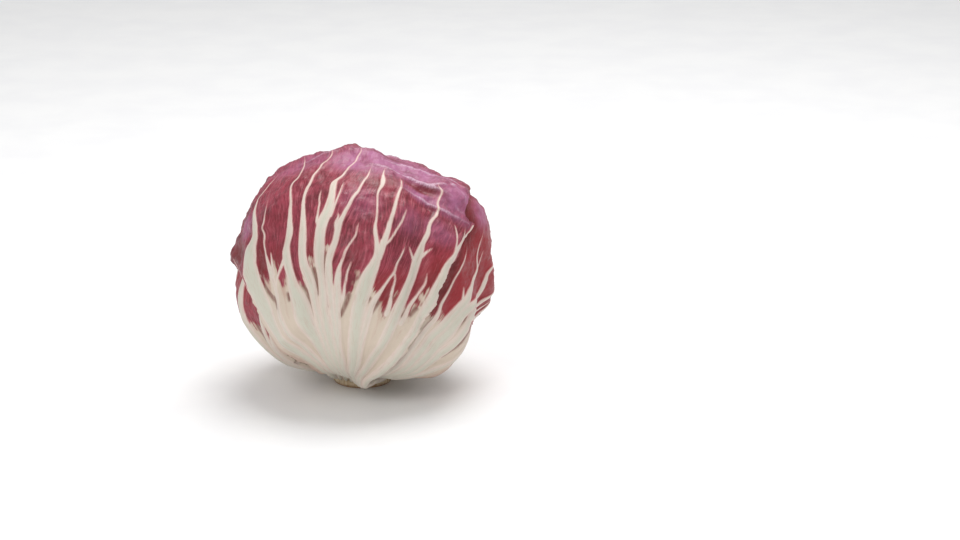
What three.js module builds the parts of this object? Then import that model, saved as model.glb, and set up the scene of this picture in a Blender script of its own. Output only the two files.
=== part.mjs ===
// A radicchio head: a cut stem, a dense heart, and eight wrapper leaves that lie over one another.
// Millimetres and degrees, +Z up. The head stands on the flat cut face of its stem, at z = 0, and the origin is
// under the middle of the head's box.
// A leaf is drawn on a map of the head: x and y are degrees to the right of and above the middle of that map.
import * as THREE from "three";

// Driving dimensions of the head.
const HEAD_CENTRE = new THREE.Vector3(-0.6, 0.75, 52);
const HEAD_RADIUS = 53.7;
const HEAD_FLOOR = 2.8; // height of the lowest leaf bases above the cut face
const FLOOR_ROUNDING = 5;
const UNDERSIDE = -0.5; // the ground limits the head where a direction from its middle points lower than this
// Where the head departs from a ball: height in millimetres, spread in degrees.
const SWELLS = [
  { azimuth: 2, elevation: 26, height: 5.3, spread: 17 },
  { azimuth: -2, elevation: -30, height: -2.4, spread: 12 },
  { azimuth: -34, elevation: -40, height: 5.8, spread: 24 },
  { azimuth: 38, elevation: 66, height: -5.2, spread: 20 },
  { azimuth: 115, elevation: 80, height: -1.6, spread: 22 },
  { azimuth: -98, elevation: -60, height: -3, spread: 16 },
  { azimuth: -160, elevation: -28, height: 1.4, spread: 16 },
  { azimuth: 178, elevation: 42, height: 1.2, spread: 9 },
  { azimuth: 176, elevation: 62, height: -0.8, spread: 14 },
];

// How the leaves are stacked.
const BLADE = 0.9; // thickness of a leaf between its ribs
const GAP = 1; // air between one leaf and the next
const RIB_BASE = 2.3; // height of the thickest ribs at the leaf's base
const RIB_TIP = 0.25; // height of the same ribs at the leaf's top
const RIB_RISE = 140; // degrees over which a rib sinks from its full height at the base
const RIB_SINK = 1.7; // above 1, most of that happens low on the leaf
const RIB_SIDE = 0.8; // degrees by which a rib's foot is wider than the rib to each side
const RIB_FULL_WIDTH = 7; // a rib this many degrees wide, or wider, has its full height
const RIB_THIN_SHARE = 0.35; // share of that height that the thinnest rib starts from
const BASE_ANGLE = 16; // the leaf bases ring the stem at this angle from straight down
const COVER_HOLD = 2.2; // a leaf still carries the next one this far outside its own margin
const COVER_FADE = 8; // and lets it down to the layer below over this many degrees more
const PATCH_ANGLE = 16; // the heart makes room for the mean of the leaves over a patch this wide
const PATCH_POINTS = 8;
const ROW_BIAS = 1.12; // above 1, a leaf's rows lie closer near its base
const MARGIN_BAND = 9; // a free margin starts to stand off this many degrees inside the outline
const MARGIN_WAVE = { mean: 0.6, swing: 0.4, x: 0.23, y: 0.31 }; // x, y: radians to a degree of the map

// How finely outlines and ribs are followed when distances to them are measured.
const SIDE_POINTS = 16;
const TOP_POINTS = 24;
const RIB_POINTS = 40;

// The stem.
const STEM_PROFILE = [
  [12.3, 0],
  [13.0, 1.2],
  [12.8, 3],
  [11.8, 7.5],
  [9.9, 14.5],
  [8.5, 19],
  [7.3, 23],
  [6.4, 26.5],
];
const SOCKET_MOUTH = 23; // height at which the heart's socket meets the stem
const STEM_SIDES = 28;
const SOCKET_GAP = 0.5;

// The heart.
const HEART_RINGS = 18;
const HEART_SIDES = 28;
const HEART_SWIRL = 1.3; // height of the wrapped leaf edges that wind round the crown
const HEART_EDGES = 3;
const HEART_TURN = 2.2; // degrees that an edge turns round the crown for a degree down from it
const HEART_EDGE_SHARE = 0.12; // share of the way to the next edge that the step takes
const HEART_SWIRL_FADE = [30, 70]; // degrees from the crown between which the edges sink away
const HEART_FIRST_RING = 180 - BASE_ANGLE - 1; // degrees from the crown
const HEART_LAST_RING = 6;

const radians = THREE.MathUtils.degToRad;
const degrees = THREE.MathUtils.radToDeg;
const { clamp, lerp, smoothstep } = THREE.MathUtils;

function direction(azimuth, elevation) {
  const flat = Math.cos(radians(elevation));
  return new THREE.Vector3(
    flat * Math.cos(radians(azimuth)),
    flat * Math.sin(radians(azimuth)),
    Math.sin(radians(elevation)),
  );
}

// A flat map of the head, true in distance and bearing from its middle.
class LeafMap {
  constructor(azimuth, elevation) {
    this.middle = direction(azimuth, elevation);
    this.right = direction(azimuth + 90, 0);
    this.up = new THREE.Vector3().crossVectors(this.middle, this.right);
  }

  toDirection(x, y) {
    const angle = radians(Math.hypot(x, y));
    const bearing = Math.atan2(y, x);
    return new THREE.Vector3()
      .addScaledVector(this.middle, Math.cos(angle))
      .addScaledVector(this.right, Math.sin(angle) * Math.cos(bearing))
      .addScaledVector(this.up, Math.sin(angle) * Math.sin(bearing));
  }

  toMap(way) {
    const angle = degrees(Math.acos(clamp(way.dot(this.middle), -1, 1)));
    const bearing = Math.atan2(way.dot(this.up), way.dot(this.right));
    return new THREE.Vector2(angle * Math.cos(bearing), angle * Math.sin(bearing));
  }
}

// Distance in degrees from a point of the map to a closed outline, negative inside it.
function outlineDistance(outline, point) {
  let nearest = Infinity;
  let inside = false;
  outline.forEach((a, i) => {
    const b = outline[(i + 1) % outline.length];
    const along = b.clone().sub(a);
    const t = clamp(point.clone().sub(a).dot(along) / along.lengthSq(), 0, 1);
    nearest = Math.min(nearest, point.distanceTo(along.multiplyScalar(t).add(a)));
    const crosses = a.y > point.y !== b.y > point.y;
    if (crosses && point.x < ((b.x - a.x) * (point.y - a.y)) / (b.y - a.y) + a.x) inside = !inside;
  });
  return inside ? -nearest : nearest;
}

// Ribs are fattest near the base: 1 there, 0 at the top of the head.
function ribShare(way) {
  const rise = (degrees(Math.asin(clamp(way.z, -1, 1))) + 90 - BASE_ANGLE) / RIB_RISE;
  return (1 - clamp(rise, 0, 1)) ** RIB_SINK;
}

const ribHeight = (way) => lerp(RIB_TIP, RIB_BASE, ribShare(way));

// Two outer leaves are drawn line by line on one map, whose middle faces -Y and a little up.
// Each rib runs from near the base to the margin as [x, y, width]; margins are [x, y].
const DRAWN_MAP = new LeafMap(-90, 17);
const DRAWN_STEPS = 4; // columns from one rib to the next
const FRONT_LEAF = {
  name: "leaf_front",
  azimuth: -90,
  baseTurn: [-62, 58], // where the base starts and ends round the stem, from the leaf's own azimuth
  rows: 20,
  rim: 0.4,
  stoutness: 1,
  left: [
    [-35, -62], [-46, -46], [-55, -32], [-60.5, -20], [-65.5, -11], [-73, -5], [-83, 2],
    [-90, 10], [-88, 18], [-85, 30], [-82, 45], [-74, 58],
  ],
  ribs: [
    [[-24, -62, 7], [-37, -43, 9], [-46, -30, 11], [-53, -19, 12], [-57.5, -10, 12.5], [-60, 0, 10.5],
     [-59.5, 5, 10.5], [-57, 10, 6.5], [-55, 15, 5], [-56.2, 20, 5], [-58.7, 25, 4.2], [-61.3, 30, 3.5],
     [-61.6, 36, 2], [-61, 40, 1.2], [-58, 43, 1.2], [-55, 48, 0.8], [-52, 56, 0.3], [-58, 65, 0.1]],
    [[-18.5, -62, 5], [-27, -45, 4.5], [-33, -32, 4], [-38, -20, 3.4], [-40, -14, 2.8], [-41.7, -9, 2.8],
     [-43.5, -4, 3.6], [-45.5, 1, 2.4], [-47.2, 5, 1.4], [-48.8, 10.5, 1.2], [-48.5, 15.5, 1.2], [-49.8, 19, 1],
     [-49, 22, 1], [-49.5, 30, 0.5], [-51, 42, 0.2], [-48, 71, 0.1]],
    [[-15, -60, 6], [-20, -42, 7], [-24, -28, 8], [-26.5, -18, 8], [-29.5, -11, 6.5], [-31.2, -5, 5],
     [-32.6, 0, 5.2], [-33.6, 5, 5], [-33.3, 10, 3.8], [-32.6, 15, 4.2], [-33, 20, 3.3], [-33.8, 27, 2.2],
     [-33.8, 31, 1.7], [-34.5, 37, 1.4], [-34.9, 40.5, 1.3], [-34.4, 43, 1.3], [-32.4, 45.7, 1.2],
     [-32, 50.5, 1], [-33, 58, 0.9], [-34.5, 65, 0.5], [-36, 73, 0.2]],
    [[-12.5, -62, 5.5], [-15.5, -44, 5], [-18, -30, 4.4], [-19.8, -20, 4], [-21.2, -10, 5], [-22.4, -5, 5],
     [-24, 0, 4.8], [-24.9, 6, 4.3], [-25, 13, 4.3], [-25.5, 20, 3.5], [-26.4, 27, 2.4], [-26.8, 31, 2.1],
     [-26.7, 35, 1.9], [-26, 38.5, 1.8], [-24.6, 42, 1.6], [-23.5, 47, 1.4], [-21.4, 52, 1.2], [-20.2, 57, 1],
     [-18.4, 59.5, 0.9], [-16.5, 64, 0.7], [-17, 70, 0.4], [-20, 76, 0.2]],
    [[-9, -68, 6], [-12, -48, 6], [-14.5, -32, 6], [-15.8, -20, 5], [-16, -10, 4.4], [-16.6, -4, 4],
     [-17, 2, 4.6], [-16.8, 8, 5.2], [-16.3, 15, 5.2], [-15.2, 20, 5.6], [-13.2, 25, 5.2], [-12.3, 30, 4.2],
     [-12, 35, 3.7], [-11.7, 39.8, 3.5], [-10.7, 41.8, 2.2], [-9, 43.5, 1.6], [-7.7, 45.2, 1.4], [-6, 50.3, 1.2],
     [-5, 54, 1.1], [-3.5, 57, 1], [-2, 60.5, 0.9], [-1, 64, 0.8], [1, 68, 0.5], [-4, 80, 0.2]],
    [[-7.2, -68, 5], [-9, -50, 5], [-10.5, -34, 4.6], [-11.8, -20, 3.8], [-12.6, -10, 4], [-13.2, -4, 3.6],
     [-12.8, 1, 3.6], [-11.7, 5.5, 3.6], [-9.8, 10, 3], [-8.6, 15, 3], [-7.6, 19, 2.8], [-6.2, 21.7, 2.2],
     [-5.1, 24.3, 2], [-3.6, 27.2, 1.8], [-2, 31, 1.6], [-0.8, 33.2, 1.6], [0.4, 35, 1.5], [1.3, 37.3, 1.3],
     [3.2, 42, 1.1], [4.7, 44.7, 0.9], [6, 49, 0.5], [8, 58, 0.2], [11, 77, 0.1]],
    [[-4, -68, 6], [-2.5, -50, 7], [-1, -34, 7.5], [1, -20, 7.5], [3.8, -10, 7.4], [5.6, -5, 6.6], [8, 0, 5],
     [9.2, 4, 3.6], [9, 11, 2.3], [8.4, 15, 2.2], [8.6, 18.5, 1.5], [9.3, 22.5, 1.1], [9.6, 28, 0.9],
     [9.8, 34, 1], [10.6, 36.7, 1.6], [12.1, 39.5, 2.2], [12.8, 43, 2.5], [13, 46.5, 1.4], [14, 51, 0.3],
     [26, 74, 0.1]],
    [[-3, -70, 4], [-0.5, -52, 4], [2, -36, 4], [5, -24, 3.6], [7.2, -17.5, 3.2], [9.1, -14.5, 2.6],
     [11.8, -10.7, 1.7], [14.3, -7, 1.4], [17, -3.5, 1.3], [18.3, 0.4, 1], [20.5, 4.3, 0.8], [22.5, 9, 0.3],
     [24.5, 18, 0.1], [27, 33, 0.1], [32, 45, 0.1], [38, 57, 0.1], [47, 68, 0.1]],
    [[-1, -70, 5], [5, -54, 5.5], [11, -39, 6], [15.5, -27, 6], [18.8, -20, 6], [22, -15, 5.8], [24.4, -10, 5.4],
     [26.5, -5, 5], [27.8, 0, 4.9], [29.5, 5, 4.4], [31.3, 10, 2.9], [34.1, 15, 2.6], [35.2, 18.8, 2],
     [36.3, 21, 1.8], [37.8, 22.9, 1.6], [39.4, 24.6, 1.5], [40.8, 27.2, 1.4], [41.1, 30, 1.3], [41.5, 32.5, 1.2],
     [42.7, 35, 1.1], [43.7, 37.7, 1], [43, 40.7, 0.6], [42.5, 43, 0.3], [52, 49, 0.1], [67, 50, 0.1]],
    [[3, -71, 5], [11, -57, 5.5], [20, -42, 6], [27.5, -30, 5.6], [33, -20, 5.4], [35.4, -15, 5.4],
     [37.5, -10, 5], [40.2, -5, 4.8], [43.5, 0, 4.2], [46.9, 4, 3.1], [49.2, 7.3, 2.6], [51.3, 9.7, 2.1],
     [54, 13.5, 1], [55.5, 20, 0.2], [56, 28.5, 0.1]],
  ],
  right: [
    [5, -72], [14, -58], [24, -42], [31.5, -30], [36, -20], [38, -14.5], [40.3, -9],
    [43.7, -3.8], [48, 2.5], [53.5, 10], [58, 15.8], [61, 21.3],
  ],
  // The right arm of the forked rib, and a rib that stands on the blade to its left.
  forks: [
    [[9.5, 3, 4], [11.2, 7.5, 3.8], [12.6, 11, 3.2], [13.9, 14.5, 2.8], [15.3, 19.5, 2.3], [16.6, 23.5, 2],
     [17.6, 27.5, 1.8], [18.6, 31, 1.6], [20, 35, 1.4], [21.3, 38, 1.2], [21.9, 41, 1], [22.6, 46, 0.3]],
    [[-9.5, -38, 4], [-9.3, -22, 4], [-9, -15, 4], [-8.8, -10, 3.6], [-8.3, -5, 3.3], [-7.9, -1.8, 2.2],
     [-7, 0.5, 1.6], [-6.2, 2.5, 1.4], [-5, 6, 1.2], [-3.1, 9.2, 1.1], [-1.8, 11, 1], [-0.3, 13.6, 0.9]],
  ],
  lifts: [
    { x: -5, y: 80, height: 1.9, spread: 7 }, // flap at the crown
    { x: -87, y: 4, height: 2.2, spread: 7 }, // lobe that stands out on the left
    { x: 61, y: 21, height: 0.5, spread: 6 },
  ],
};
const FRONT_RIGHT_LEAF = {
  name: "leaf_front_right",
  azimuth: -38,
  baseTurn: [-52, 52],
  rows: 18,
  rim: 0.4,
  stoutness: 0.9,
  left: [[4, -78], [11, -66], [19, -50], [26, -36], [32, -22], [37, -8], [42, 8], [47, 26], [49, 44]],
  ribs: [
    [[6, -80, 4], [15, -64, 4], [26, -46, 3.6], [35.5, -32, 3], [39.5, -25, 2.4], [41, -20, 2],
     [43, -17, 1.7], [46.5, -12.5, 1.4], [49.5, -8.5, 1.1], [54.5, -2, 1], [57.5, 3, 0.7], [59.5, 9, 0.3],
     [60.5, 20, 0.1], [61.5, 34, 0.1], [62, 47, 0.1]],
    [[9, -79, 6], [20, -62, 6], [33, -44, 6], [42, -32, 6], [47, -26, 5.4], [50.5, -22.5, 5.2],
     [53.5, -20, 5], [56, -18, 4.6], [59, -14.5, 3.8], [61.5, -12.5, 3.2], [66, -7.5, 2.7], [69.5, -2.5, 2],
     [68.5, 3.5, 1.3], [69, 8, 0.8], [70, 14, 0.5], [72, 24, 0.2], [76, 42, 0.1]],
    [[11, -80, 7], [26, -61, 7], [39, -45, 7], [47, -32, 7], [51.5, -25.5, 6.4], [56, -23, 6],
     [61.5, -21, 5.2], [67.5, -20, 5], [71.5, -18.5, 5], [74, -15.5, 5], [75.5, -12.5, 4.6], [77, -9, 4],
     [78, -6, 3.4], [81, -2.5, 2.6], [85, 0.5, 1.8], [92, 8, 0.8], [98, 27, 0.1]],
    [[14, -80, 6], [30, -62, 6], [45, -46, 6], [53, -34.5, 5.4], [57.5, -27.5, 4.8], [61.5, -25, 4],
     [67, -25.4, 3.2], [72, -25, 2.8], [75, -23.5, 2.6], [78.5, -21.5, 2.4], [82, -19.5, 2], [87, -16, 1.6],
     [95, -9, 0.8], [106, 4, 0.3]],
    [[16, -81, 5], [32, -66, 5], [45, -57, 4], [57, -48, 4], [67, -40, 3.4], [77, -33, 2.6], [87, -26, 2],
     [98, -17, 1], [110, -8, 0.3]],
  ],
  right: [[15, -84], [28, -76], [44, -69], [60, -65], [78, -58], [94, -49], [106, -40]],
  forks: [],
  lifts: [],
};

// The other wrapper leaves. Each is a fan of ribs, halfWidth degrees wide to each side, that reaches top degrees
// above its map's middle and leans sideways at its tip.
const FAN_ELEVATION = 12;
const INNER_FANS = [
  { name: "leaf_inner_back_left", azimuth: 146, halfWidth: 52, top: 68, lean: 8, wave: 0.4, stoutness: 0.45 },
  { name: "leaf_inner_right", azimuth: 8, halfWidth: 52, top: 66, lean: -8, wave: 1.7, stoutness: 0.5 },
  { name: "leaf_inner_front_left", azimuth: -132, halfWidth: 52, top: 70, lean: 9, wave: 2.9, stoutness: 0.55 },
].map((leaf) => ({ ...leaf, rows: 15, steps: 2 }));
const OUTER_FANS = [
  { name: "leaf_back", azimuth: 103, halfWidth: 58, top: 76, lean: -9, wave: 4.1, stoutness: 0.8 },
  { name: "leaf_left", azimuth: 174, halfWidth: 61, top: 78, lean: 8, wave: 0.9, stoutness: 1 },
  { name: "leaf_back_right", azimuth: 58, halfWidth: 58, top: 74, lean: -6, wave: 2.2, stoutness: 1 },
].map((leaf) => ({ ...leaf, rows: 18, steps: 3 }));
const FAN_RIBS = 7;
const FAN_BASE_TURN = 52;
const FAN_SWEEP = 104; // the outermost ribs end this far round from the tip
const FAN_MIDDLE = 2; // height of the fan's middle on the map
const FAN_SHOULDER = -48; // height at which its sides have spread
const FAN_RIB_WIDTH = 7;
const FAN_SIDE_THINNING = 0.45; // share of that width that the outermost lines lose
const FAN_LIFT = 0.5; // how far a free margin stands off
const FAN_HEEL = { out: 0.4, up: 0.6 }; // shares of the way from the base out to the sides and up to the shoulder
// Further up a line: shares of the end's sideways reach, of the rise from the shoulder and of the rib's width.
const FAN_STATIONS = [
  { reach: 0.74, rise: 0.35, width: 0.7 },
  { reach: 0.92, rise: 0.72, width: 0.4 },
];
const FAN_TIP_WIDTH = 0.3;
const FAN_RIPPLES = [
  { size: 0.035, turns: 7, phase: 1 },
  { size: 0.02, turns: 12, phase: 2 },
];

// A rib's path on the map, with its width as the third coordinate.
function ribCurve(points) {
  return new THREE.CatmullRomCurve3(points.map(([x, y, width]) => new THREE.Vector3(x, y, width ?? 0)));
}

// Where a base line across the leaf starts on the map, turn degrees round the stem from the leaf's own azimuth.
function basePoint(map, azimuth, turn) {
  const { x, y } = map.toMap(direction(azimuth + turn, BASE_ANGLE - 90));
  return [x, y];
}

function drawnLeaf(leaf) {
  const lines = [leaf.left, ...leaf.ribs, leaf.right];
  const curves = lines.map((line, i) => {
    const turn = lerp(...leaf.baseTurn, i / (lines.length - 1));
    return ribCurve([[...basePoint(DRAWN_MAP, leaf.azimuth, turn), line[0][2]], ...line]);
  });
  return {
    ...leaf,
    map: DRAWN_MAP,
    curves,
    ribs: [...curves.slice(1, -1), ...leaf.forks.map(ribCurve)],
    steps: DRAWN_STEPS,
    wave: 0,
  };
}

// The end of a fan's line on the margin: share runs from -1 at the left margin to 1 at the right one.
function fanEnd(leaf, share) {
  const bearing = radians(share * FAN_SWEEP);
  let ripple = 1;
  for (const { size, turns, phase } of FAN_RIPPLES) {
    ripple += size * Math.sin(turns * bearing + phase * leaf.wave);
  }
  return [
    leaf.halfWidth * ripple * Math.sin(bearing) + leaf.lean * Math.cos(bearing / 2),
    FAN_MIDDLE + (leaf.top - FAN_MIDDLE) * ripple * Math.cos(bearing),
  ];
}

function fanLeaf(leaf) {
  const map = new LeafMap(leaf.azimuth, FAN_ELEVATION);
  const lineCount = FAN_RIBS + 2;
  const curves = [];
  for (let i = 0; i < lineCount; i++) {
    const share = (2 * i) / (lineCount - 1) - 1;
    const [baseX, baseY] = basePoint(map, leaf.azimuth, share * FAN_BASE_TURN);
    const [endX, endY] = fanEnd(leaf, share);
    const width = FAN_RIB_WIDTH * (1 - FAN_SIDE_THINNING * Math.abs(share));
    const spreadX = FAN_STATIONS[0].reach * endX;
    curves.push(
      ribCurve([
        [baseX, baseY, width],
        [lerp(baseX, spreadX, FAN_HEEL.out), lerp(baseY, FAN_SHOULDER, FAN_HEEL.up), width],
        ...FAN_STATIONS.map((at) => [at.reach * endX, lerp(FAN_SHOULDER, endY, at.rise), at.width * width]),
        [endX, endY, FAN_TIP_WIDTH],
      ]),
    );
  }
  return { ...leaf, map, curves, ribs: curves.slice(1, -1), lifts: [], rim: FAN_LIFT };
}

// Every wrapper leaf, innermost first.
const LEAVES = [
  ...[...INNER_FANS, ...OUTER_FANS].map(fanLeaf),
  ...[FRONT_RIGHT_LEAF, FRONT_LEAF].map(drawnLeaf),
];

// The row across a leaf at one share of the way from its base to its top margin.
function rowCurve(leaf, share) {
  return new THREE.CatmullRomCurve3(leaf.curves.map((curve) => curve.getPointAt(share)));
}

// Each leaf's outline on its own map: up its left margin, across its top, down its right margin and on to the
// middle of the stem.
for (const leaf of LEAVES) {
  const left = leaf.curves[0].getSpacedPoints(SIDE_POINTS);
  const top = rowCurve(leaf, 1).getPoints(TOP_POINTS);
  const right = leaf.curves.at(-1).getSpacedPoints(SIDE_POINTS);
  const margin = [...left, ...top.slice(1, -1), ...right.reverse()];
  leaf.outline = [...margin.map(({ x, y }) => new THREE.Vector2(x, y)), leaf.map.toMap(direction(0, -90))];
  leaf.sampledRibs = leaf.ribs.map((rib) => rib.getSpacedPoints(RIB_POINTS));
}

// Degrees outside a leaf's margin, with the map's sideways stretch taken out.
function outside(leaf, way) {
  const point = leaf.map.toMap(way);
  const angle = radians(point.length());
  const stretch = angle > 0 ? angle / Math.sin(angle) : 1;
  return outlineDistance(leaf.outline, point) / stretch;
}

// What a leaf takes up under the next one.
const layer = (leaf, way) => GAP + BLADE + leaf.stoutness * ribHeight(way);

function headRadius(way) {
  let radius = HEAD_RADIUS;
  for (const { azimuth, elevation, height, spread } of SWELLS) {
    const away = degrees(way.angleTo(direction(azimuth, elevation)));
    radius += height * Math.exp(-0.5 * (away / spread) ** 2);
  }
  return radius;
}

// The lower of two radii, rounded off where they cross.
function softLower(a, b) {
  const blend = clamp(0.5 + (b - a) / (2 * FLOOR_ROUNDING), 0, 1);
  return lerp(b, a, blend) - FLOOR_ROUNDING * blend * (1 - blend);
}

// How much a leaf carries what lies over it in this direction: 1 on the leaf, 0 well outside it.
const cover = (leaf, way) => 1 - smoothstep(outside(leaf, way), COVER_HOLD, COVER_HOLD + COVER_FADE);

const stackHeight = (way) => LEAVES.reduce((sum, leaf) => sum + layer(leaf, way) * cover(leaf, way), 0);

// The heart fills the head, less the mean height of the leaves over it, and keeps all of them off the ground.
function heartRadius(way) {
  const aside = new THREE.Vector3(0, 0, 1).cross(way);
  if (aside.length() < 1e-3) aside.set(1, 0, 0);
  aside.normalize();
  const ownStack = stackHeight(way);
  let stack = ownStack;
  for (let i = 0; i < PATCH_POINTS; i++) {
    aside.applyAxisAngle(way, (2 * Math.PI) / PATCH_POINTS);
    const near = way.clone().addScaledVector(aside, Math.tan(radians(PATCH_ANGLE))).normalize();
    stack += stackHeight(near);
  }
  const filling = headRadius(way) - stack / (PATCH_POINTS + 1);
  if (way.z > UNDERSIDE) return filling;
  return softLower(filling, (HEAD_FLOOR - HEAD_CENTRE.z) / way.z - ownStack);
}

// Radius on which a leaf lies: the heart, raised by every leaf inside it.
function seatRadius(level, way) {
  let radius = heartRadius(way) + GAP;
  for (let i = 0; i < level; i++) radius += layer(LEAVES[i], way) * cover(LEAVES[i], way);
  return radius;
}

// A free margin stands off a little, in waves. Under another leaf it lies flat.
function marginLift(level, way, point) {
  const leaf = LEAVES[level];
  let free = 1;
  for (let i = level + 1; i < LEAVES.length; i++) free *= 1 - cover(LEAVES[i], way);
  const nearMargin = smoothstep(outlineDistance(leaf.outline, point), -MARGIN_BAND, 0);
  const { mean, swing, x: acrossTurn, y: upTurn } = MARGIN_WAVE;
  const ripple = mean + swing * Math.sin(acrossTurn * point.x + upTurn * point.y + leaf.wave);
  let lift = leaf.rim * nearMargin * ripple * (1 - ribShare(way));
  for (const { x, y, height, spread } of leaf.lifts) {
    lift += height * Math.exp(-0.5 * (Math.hypot(point.x - x, point.y - y) / spread) ** 2);
  }
  return free * lift;
}

// Height of the ribs over the blade at a point of the map: round ridges as wide as the rib.
function ribRelief(leaf, way, point) {
  let best = 0;
  for (const rib of leaf.sampledRibs) {
    for (const { x, y, z: width } of rib) {
      const across = Math.hypot(point.x - x, point.y - y) / (0.5 * width + RIB_SIDE);
      const size = clamp(RIB_THIN_SHARE + width / RIB_FULL_WIDTH, 0, 1);
      best = Math.max(best, size * (1 - across ** 2));
    }
  }
  return best * leaf.stoutness * ribHeight(way);
}

// A closed shell from two faces of the same grid. Both are split into triangles alike.
function shellGeometry(inner, outer, rows, columns) {
  const positions = [...inner, ...outer].flatMap((p) => [p.x, p.y, p.z]);
  const at = (row, column) => row * columns + column;
  const skin = inner.length;
  const index = [];
  for (let row = 0; row + 1 < rows; row++) {
    for (let column = 0; column + 1 < columns; column++) {
      const a = at(row, column);
      const b = at(row, column + 1);
      const c = at(row + 1, column + 1);
      const d = at(row + 1, column);
      index.push(skin + a, skin + b, skin + c, skin + a, skin + c, skin + d);
      index.push(a, c, b, a, d, c);
    }
  }
  const rim = [];
  for (let column = 0; column + 1 < columns; column++) rim.push(at(0, column));
  for (let row = 0; row + 1 < rows; row++) rim.push(at(row, columns - 1));
  for (let column = columns - 1; column > 0; column--) rim.push(at(rows - 1, column));
  for (let row = rows - 1; row > 0; row--) rim.push(at(row, 0));
  rim.forEach((a, i) => {
    const b = rim[(i + 1) % rim.length];
    index.push(a, b, skin + b, a, skin + b, skin + a);
  });
  return new THREE.BufferGeometry()
    .setAttribute("position", new THREE.Float32BufferAttribute(positions, 3))
    .setIndex(index);
}

const pointAt = (way, radius) => way.clone().multiplyScalar(radius).add(HEAD_CENTRE);

function leafGeometry(leaf, level) {
  const inner = [];
  const outer = [];
  const columns = (leaf.curves.length - 1) * leaf.steps + 1;
  for (let row = 0; row < leaf.rows; row++) {
    const line = rowCurve(leaf, (row / (leaf.rows - 1)) ** ROW_BIAS);
    for (let column = 0; column < columns; column++) {
      const { x, y } = line.getPoint(column / (columns - 1));
      const point = new THREE.Vector2(x, y);
      const way = leaf.map.toDirection(x, y);
      const seat = seatRadius(level, way) + marginLift(level, way, point);
      inner.push(pointAt(way, seat));
      outer.push(pointAt(way, seat + BLADE + ribRelief(leaf, way, point)));
    }
  }
  return shellGeometry(inner, outer, leaf.rows, columns);
}

// A closed solid from rings of points, the first and the last of which close on a middle point.
function ringsGeometry(rings, bottom, top) {
  const sides = rings[0].length;
  const points = [...rings.flat(), bottom, top];
  const bottomIndex = points.length - 2;
  const topIndex = points.length - 1;
  const lastRing = (rings.length - 1) * sides;
  const index = [];
  for (let side = 0; side < sides; side++) {
    const next = (side + 1) % sides;
    index.push(bottomIndex, next, side, topIndex, lastRing + side, lastRing + next);
    for (let ring = 0; ring + 1 < rings.length; ring++) {
      const low = ring * sides;
      const high = low + sides;
      index.push(low + side, low + next, high + next, low + side, high + next, high + side);
    }
  }
  return new THREE.BufferGeometry()
    .setAttribute("position", new THREE.Float32BufferAttribute(points.flatMap((p) => [p.x, p.y, p.z]), 3))
    .setIndex(index);
}

const STEM_AXIS = new THREE.Vector3(HEAD_CENTRE.x, HEAD_CENTRE.y, 0);

// A ring round the stem's axis.
function stemRing(radius, height, sides) {
  return Array.from({ length: sides }, (_, side) => {
    const turn = (2 * Math.PI * side) / sides;
    return new THREE.Vector3(radius * Math.cos(turn), radius * Math.sin(turn), height).add(STEM_AXIS);
  });
}

function stemGeometry() {
  const rings = STEM_PROFILE.map(([radius, height]) => stemRing(radius, height, STEM_SIDES));
  const top = new THREE.Vector3(0, 0, STEM_PROFILE.at(-1)[1]).add(STEM_AXIS);
  return ringsGeometry(rings, STEM_AXIS, top);
}

// Leaf edges that wind round the crown of the heart: a saw-tooth that turns with the distance from the crown.
function swirl(azimuth, fromCrown) {
  const tooth = (((azimuth + HEART_TURN * fromCrown) * HEART_EDGES) / 360) % 1;
  const step = (1 - tooth) * smoothstep(tooth, 0, HEART_EDGE_SHARE);
  return HEART_SWIRL * step * (1 - smoothstep(fromCrown, ...HEART_SWIRL_FADE));
}

function heartGeometry() {
  const socket = STEM_PROFILE.filter(([, height]) => height >= SOCKET_MOUTH)
    .reverse()
    .map(([radius, height]) => stemRing(radius + SOCKET_GAP, height + SOCKET_GAP, HEART_SIDES));
  const rings = [];
  for (let ring = 0; ring < HEART_RINGS; ring++) {
    const fromCrown = lerp(HEART_FIRST_RING, HEART_LAST_RING, ring / (HEART_RINGS - 1));
    rings.push(
      Array.from({ length: HEART_SIDES }, (_, side) => {
        const azimuth = (360 * side) / HEART_SIDES;
        const way = direction(azimuth, 90 - fromCrown);
        return pointAt(way, heartRadius(way) + swirl(azimuth, fromCrown) - HEART_SWIRL);
      }),
    );
  }
  const crown = direction(0, 90);
  const roof = new THREE.Vector3(0, 0, STEM_PROFILE.at(-1)[1] + SOCKET_GAP).add(STEM_AXIS);
  return ringsGeometry([...socket, ...rings], roof, pointAt(crown, heartRadius(crown) - HEART_SWIRL));
}

const group = new THREE.Group();

function addMesh(name, geometry, color, roughness) {
  const mesh = new THREE.Mesh(geometry, new THREE.MeshStandardMaterial({ color, roughness, metalness: 0 }));
  mesh.name = name;
  group.add(mesh);
}

addMesh("stem", stemGeometry(), 0xcdb994, 0.8);
addMesh("heart", heartGeometry(), 0x8a3048, 0.5);
LEAVES.forEach((leaf, level) => addMesh(leaf.name, leafGeometry(leaf, level), 0x96404f, 0.5));

export default group;
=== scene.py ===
"""A radicchio head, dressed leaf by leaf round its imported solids.

Metres, +Z up. A leaf is drawn on a map of the head, on which x and y are degrees to the right of and above
the map's middle, and widths are degrees too. Each leaf keeps the form and the place of the solid that it
replaces, and gains finer veins, furrows in its pale base, puckers and long folds in its blade, and a thin
ragged margin. The mesh carries fields, such as how far a point lies inside a rib, which colour the leaf.
"""

import math

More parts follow.
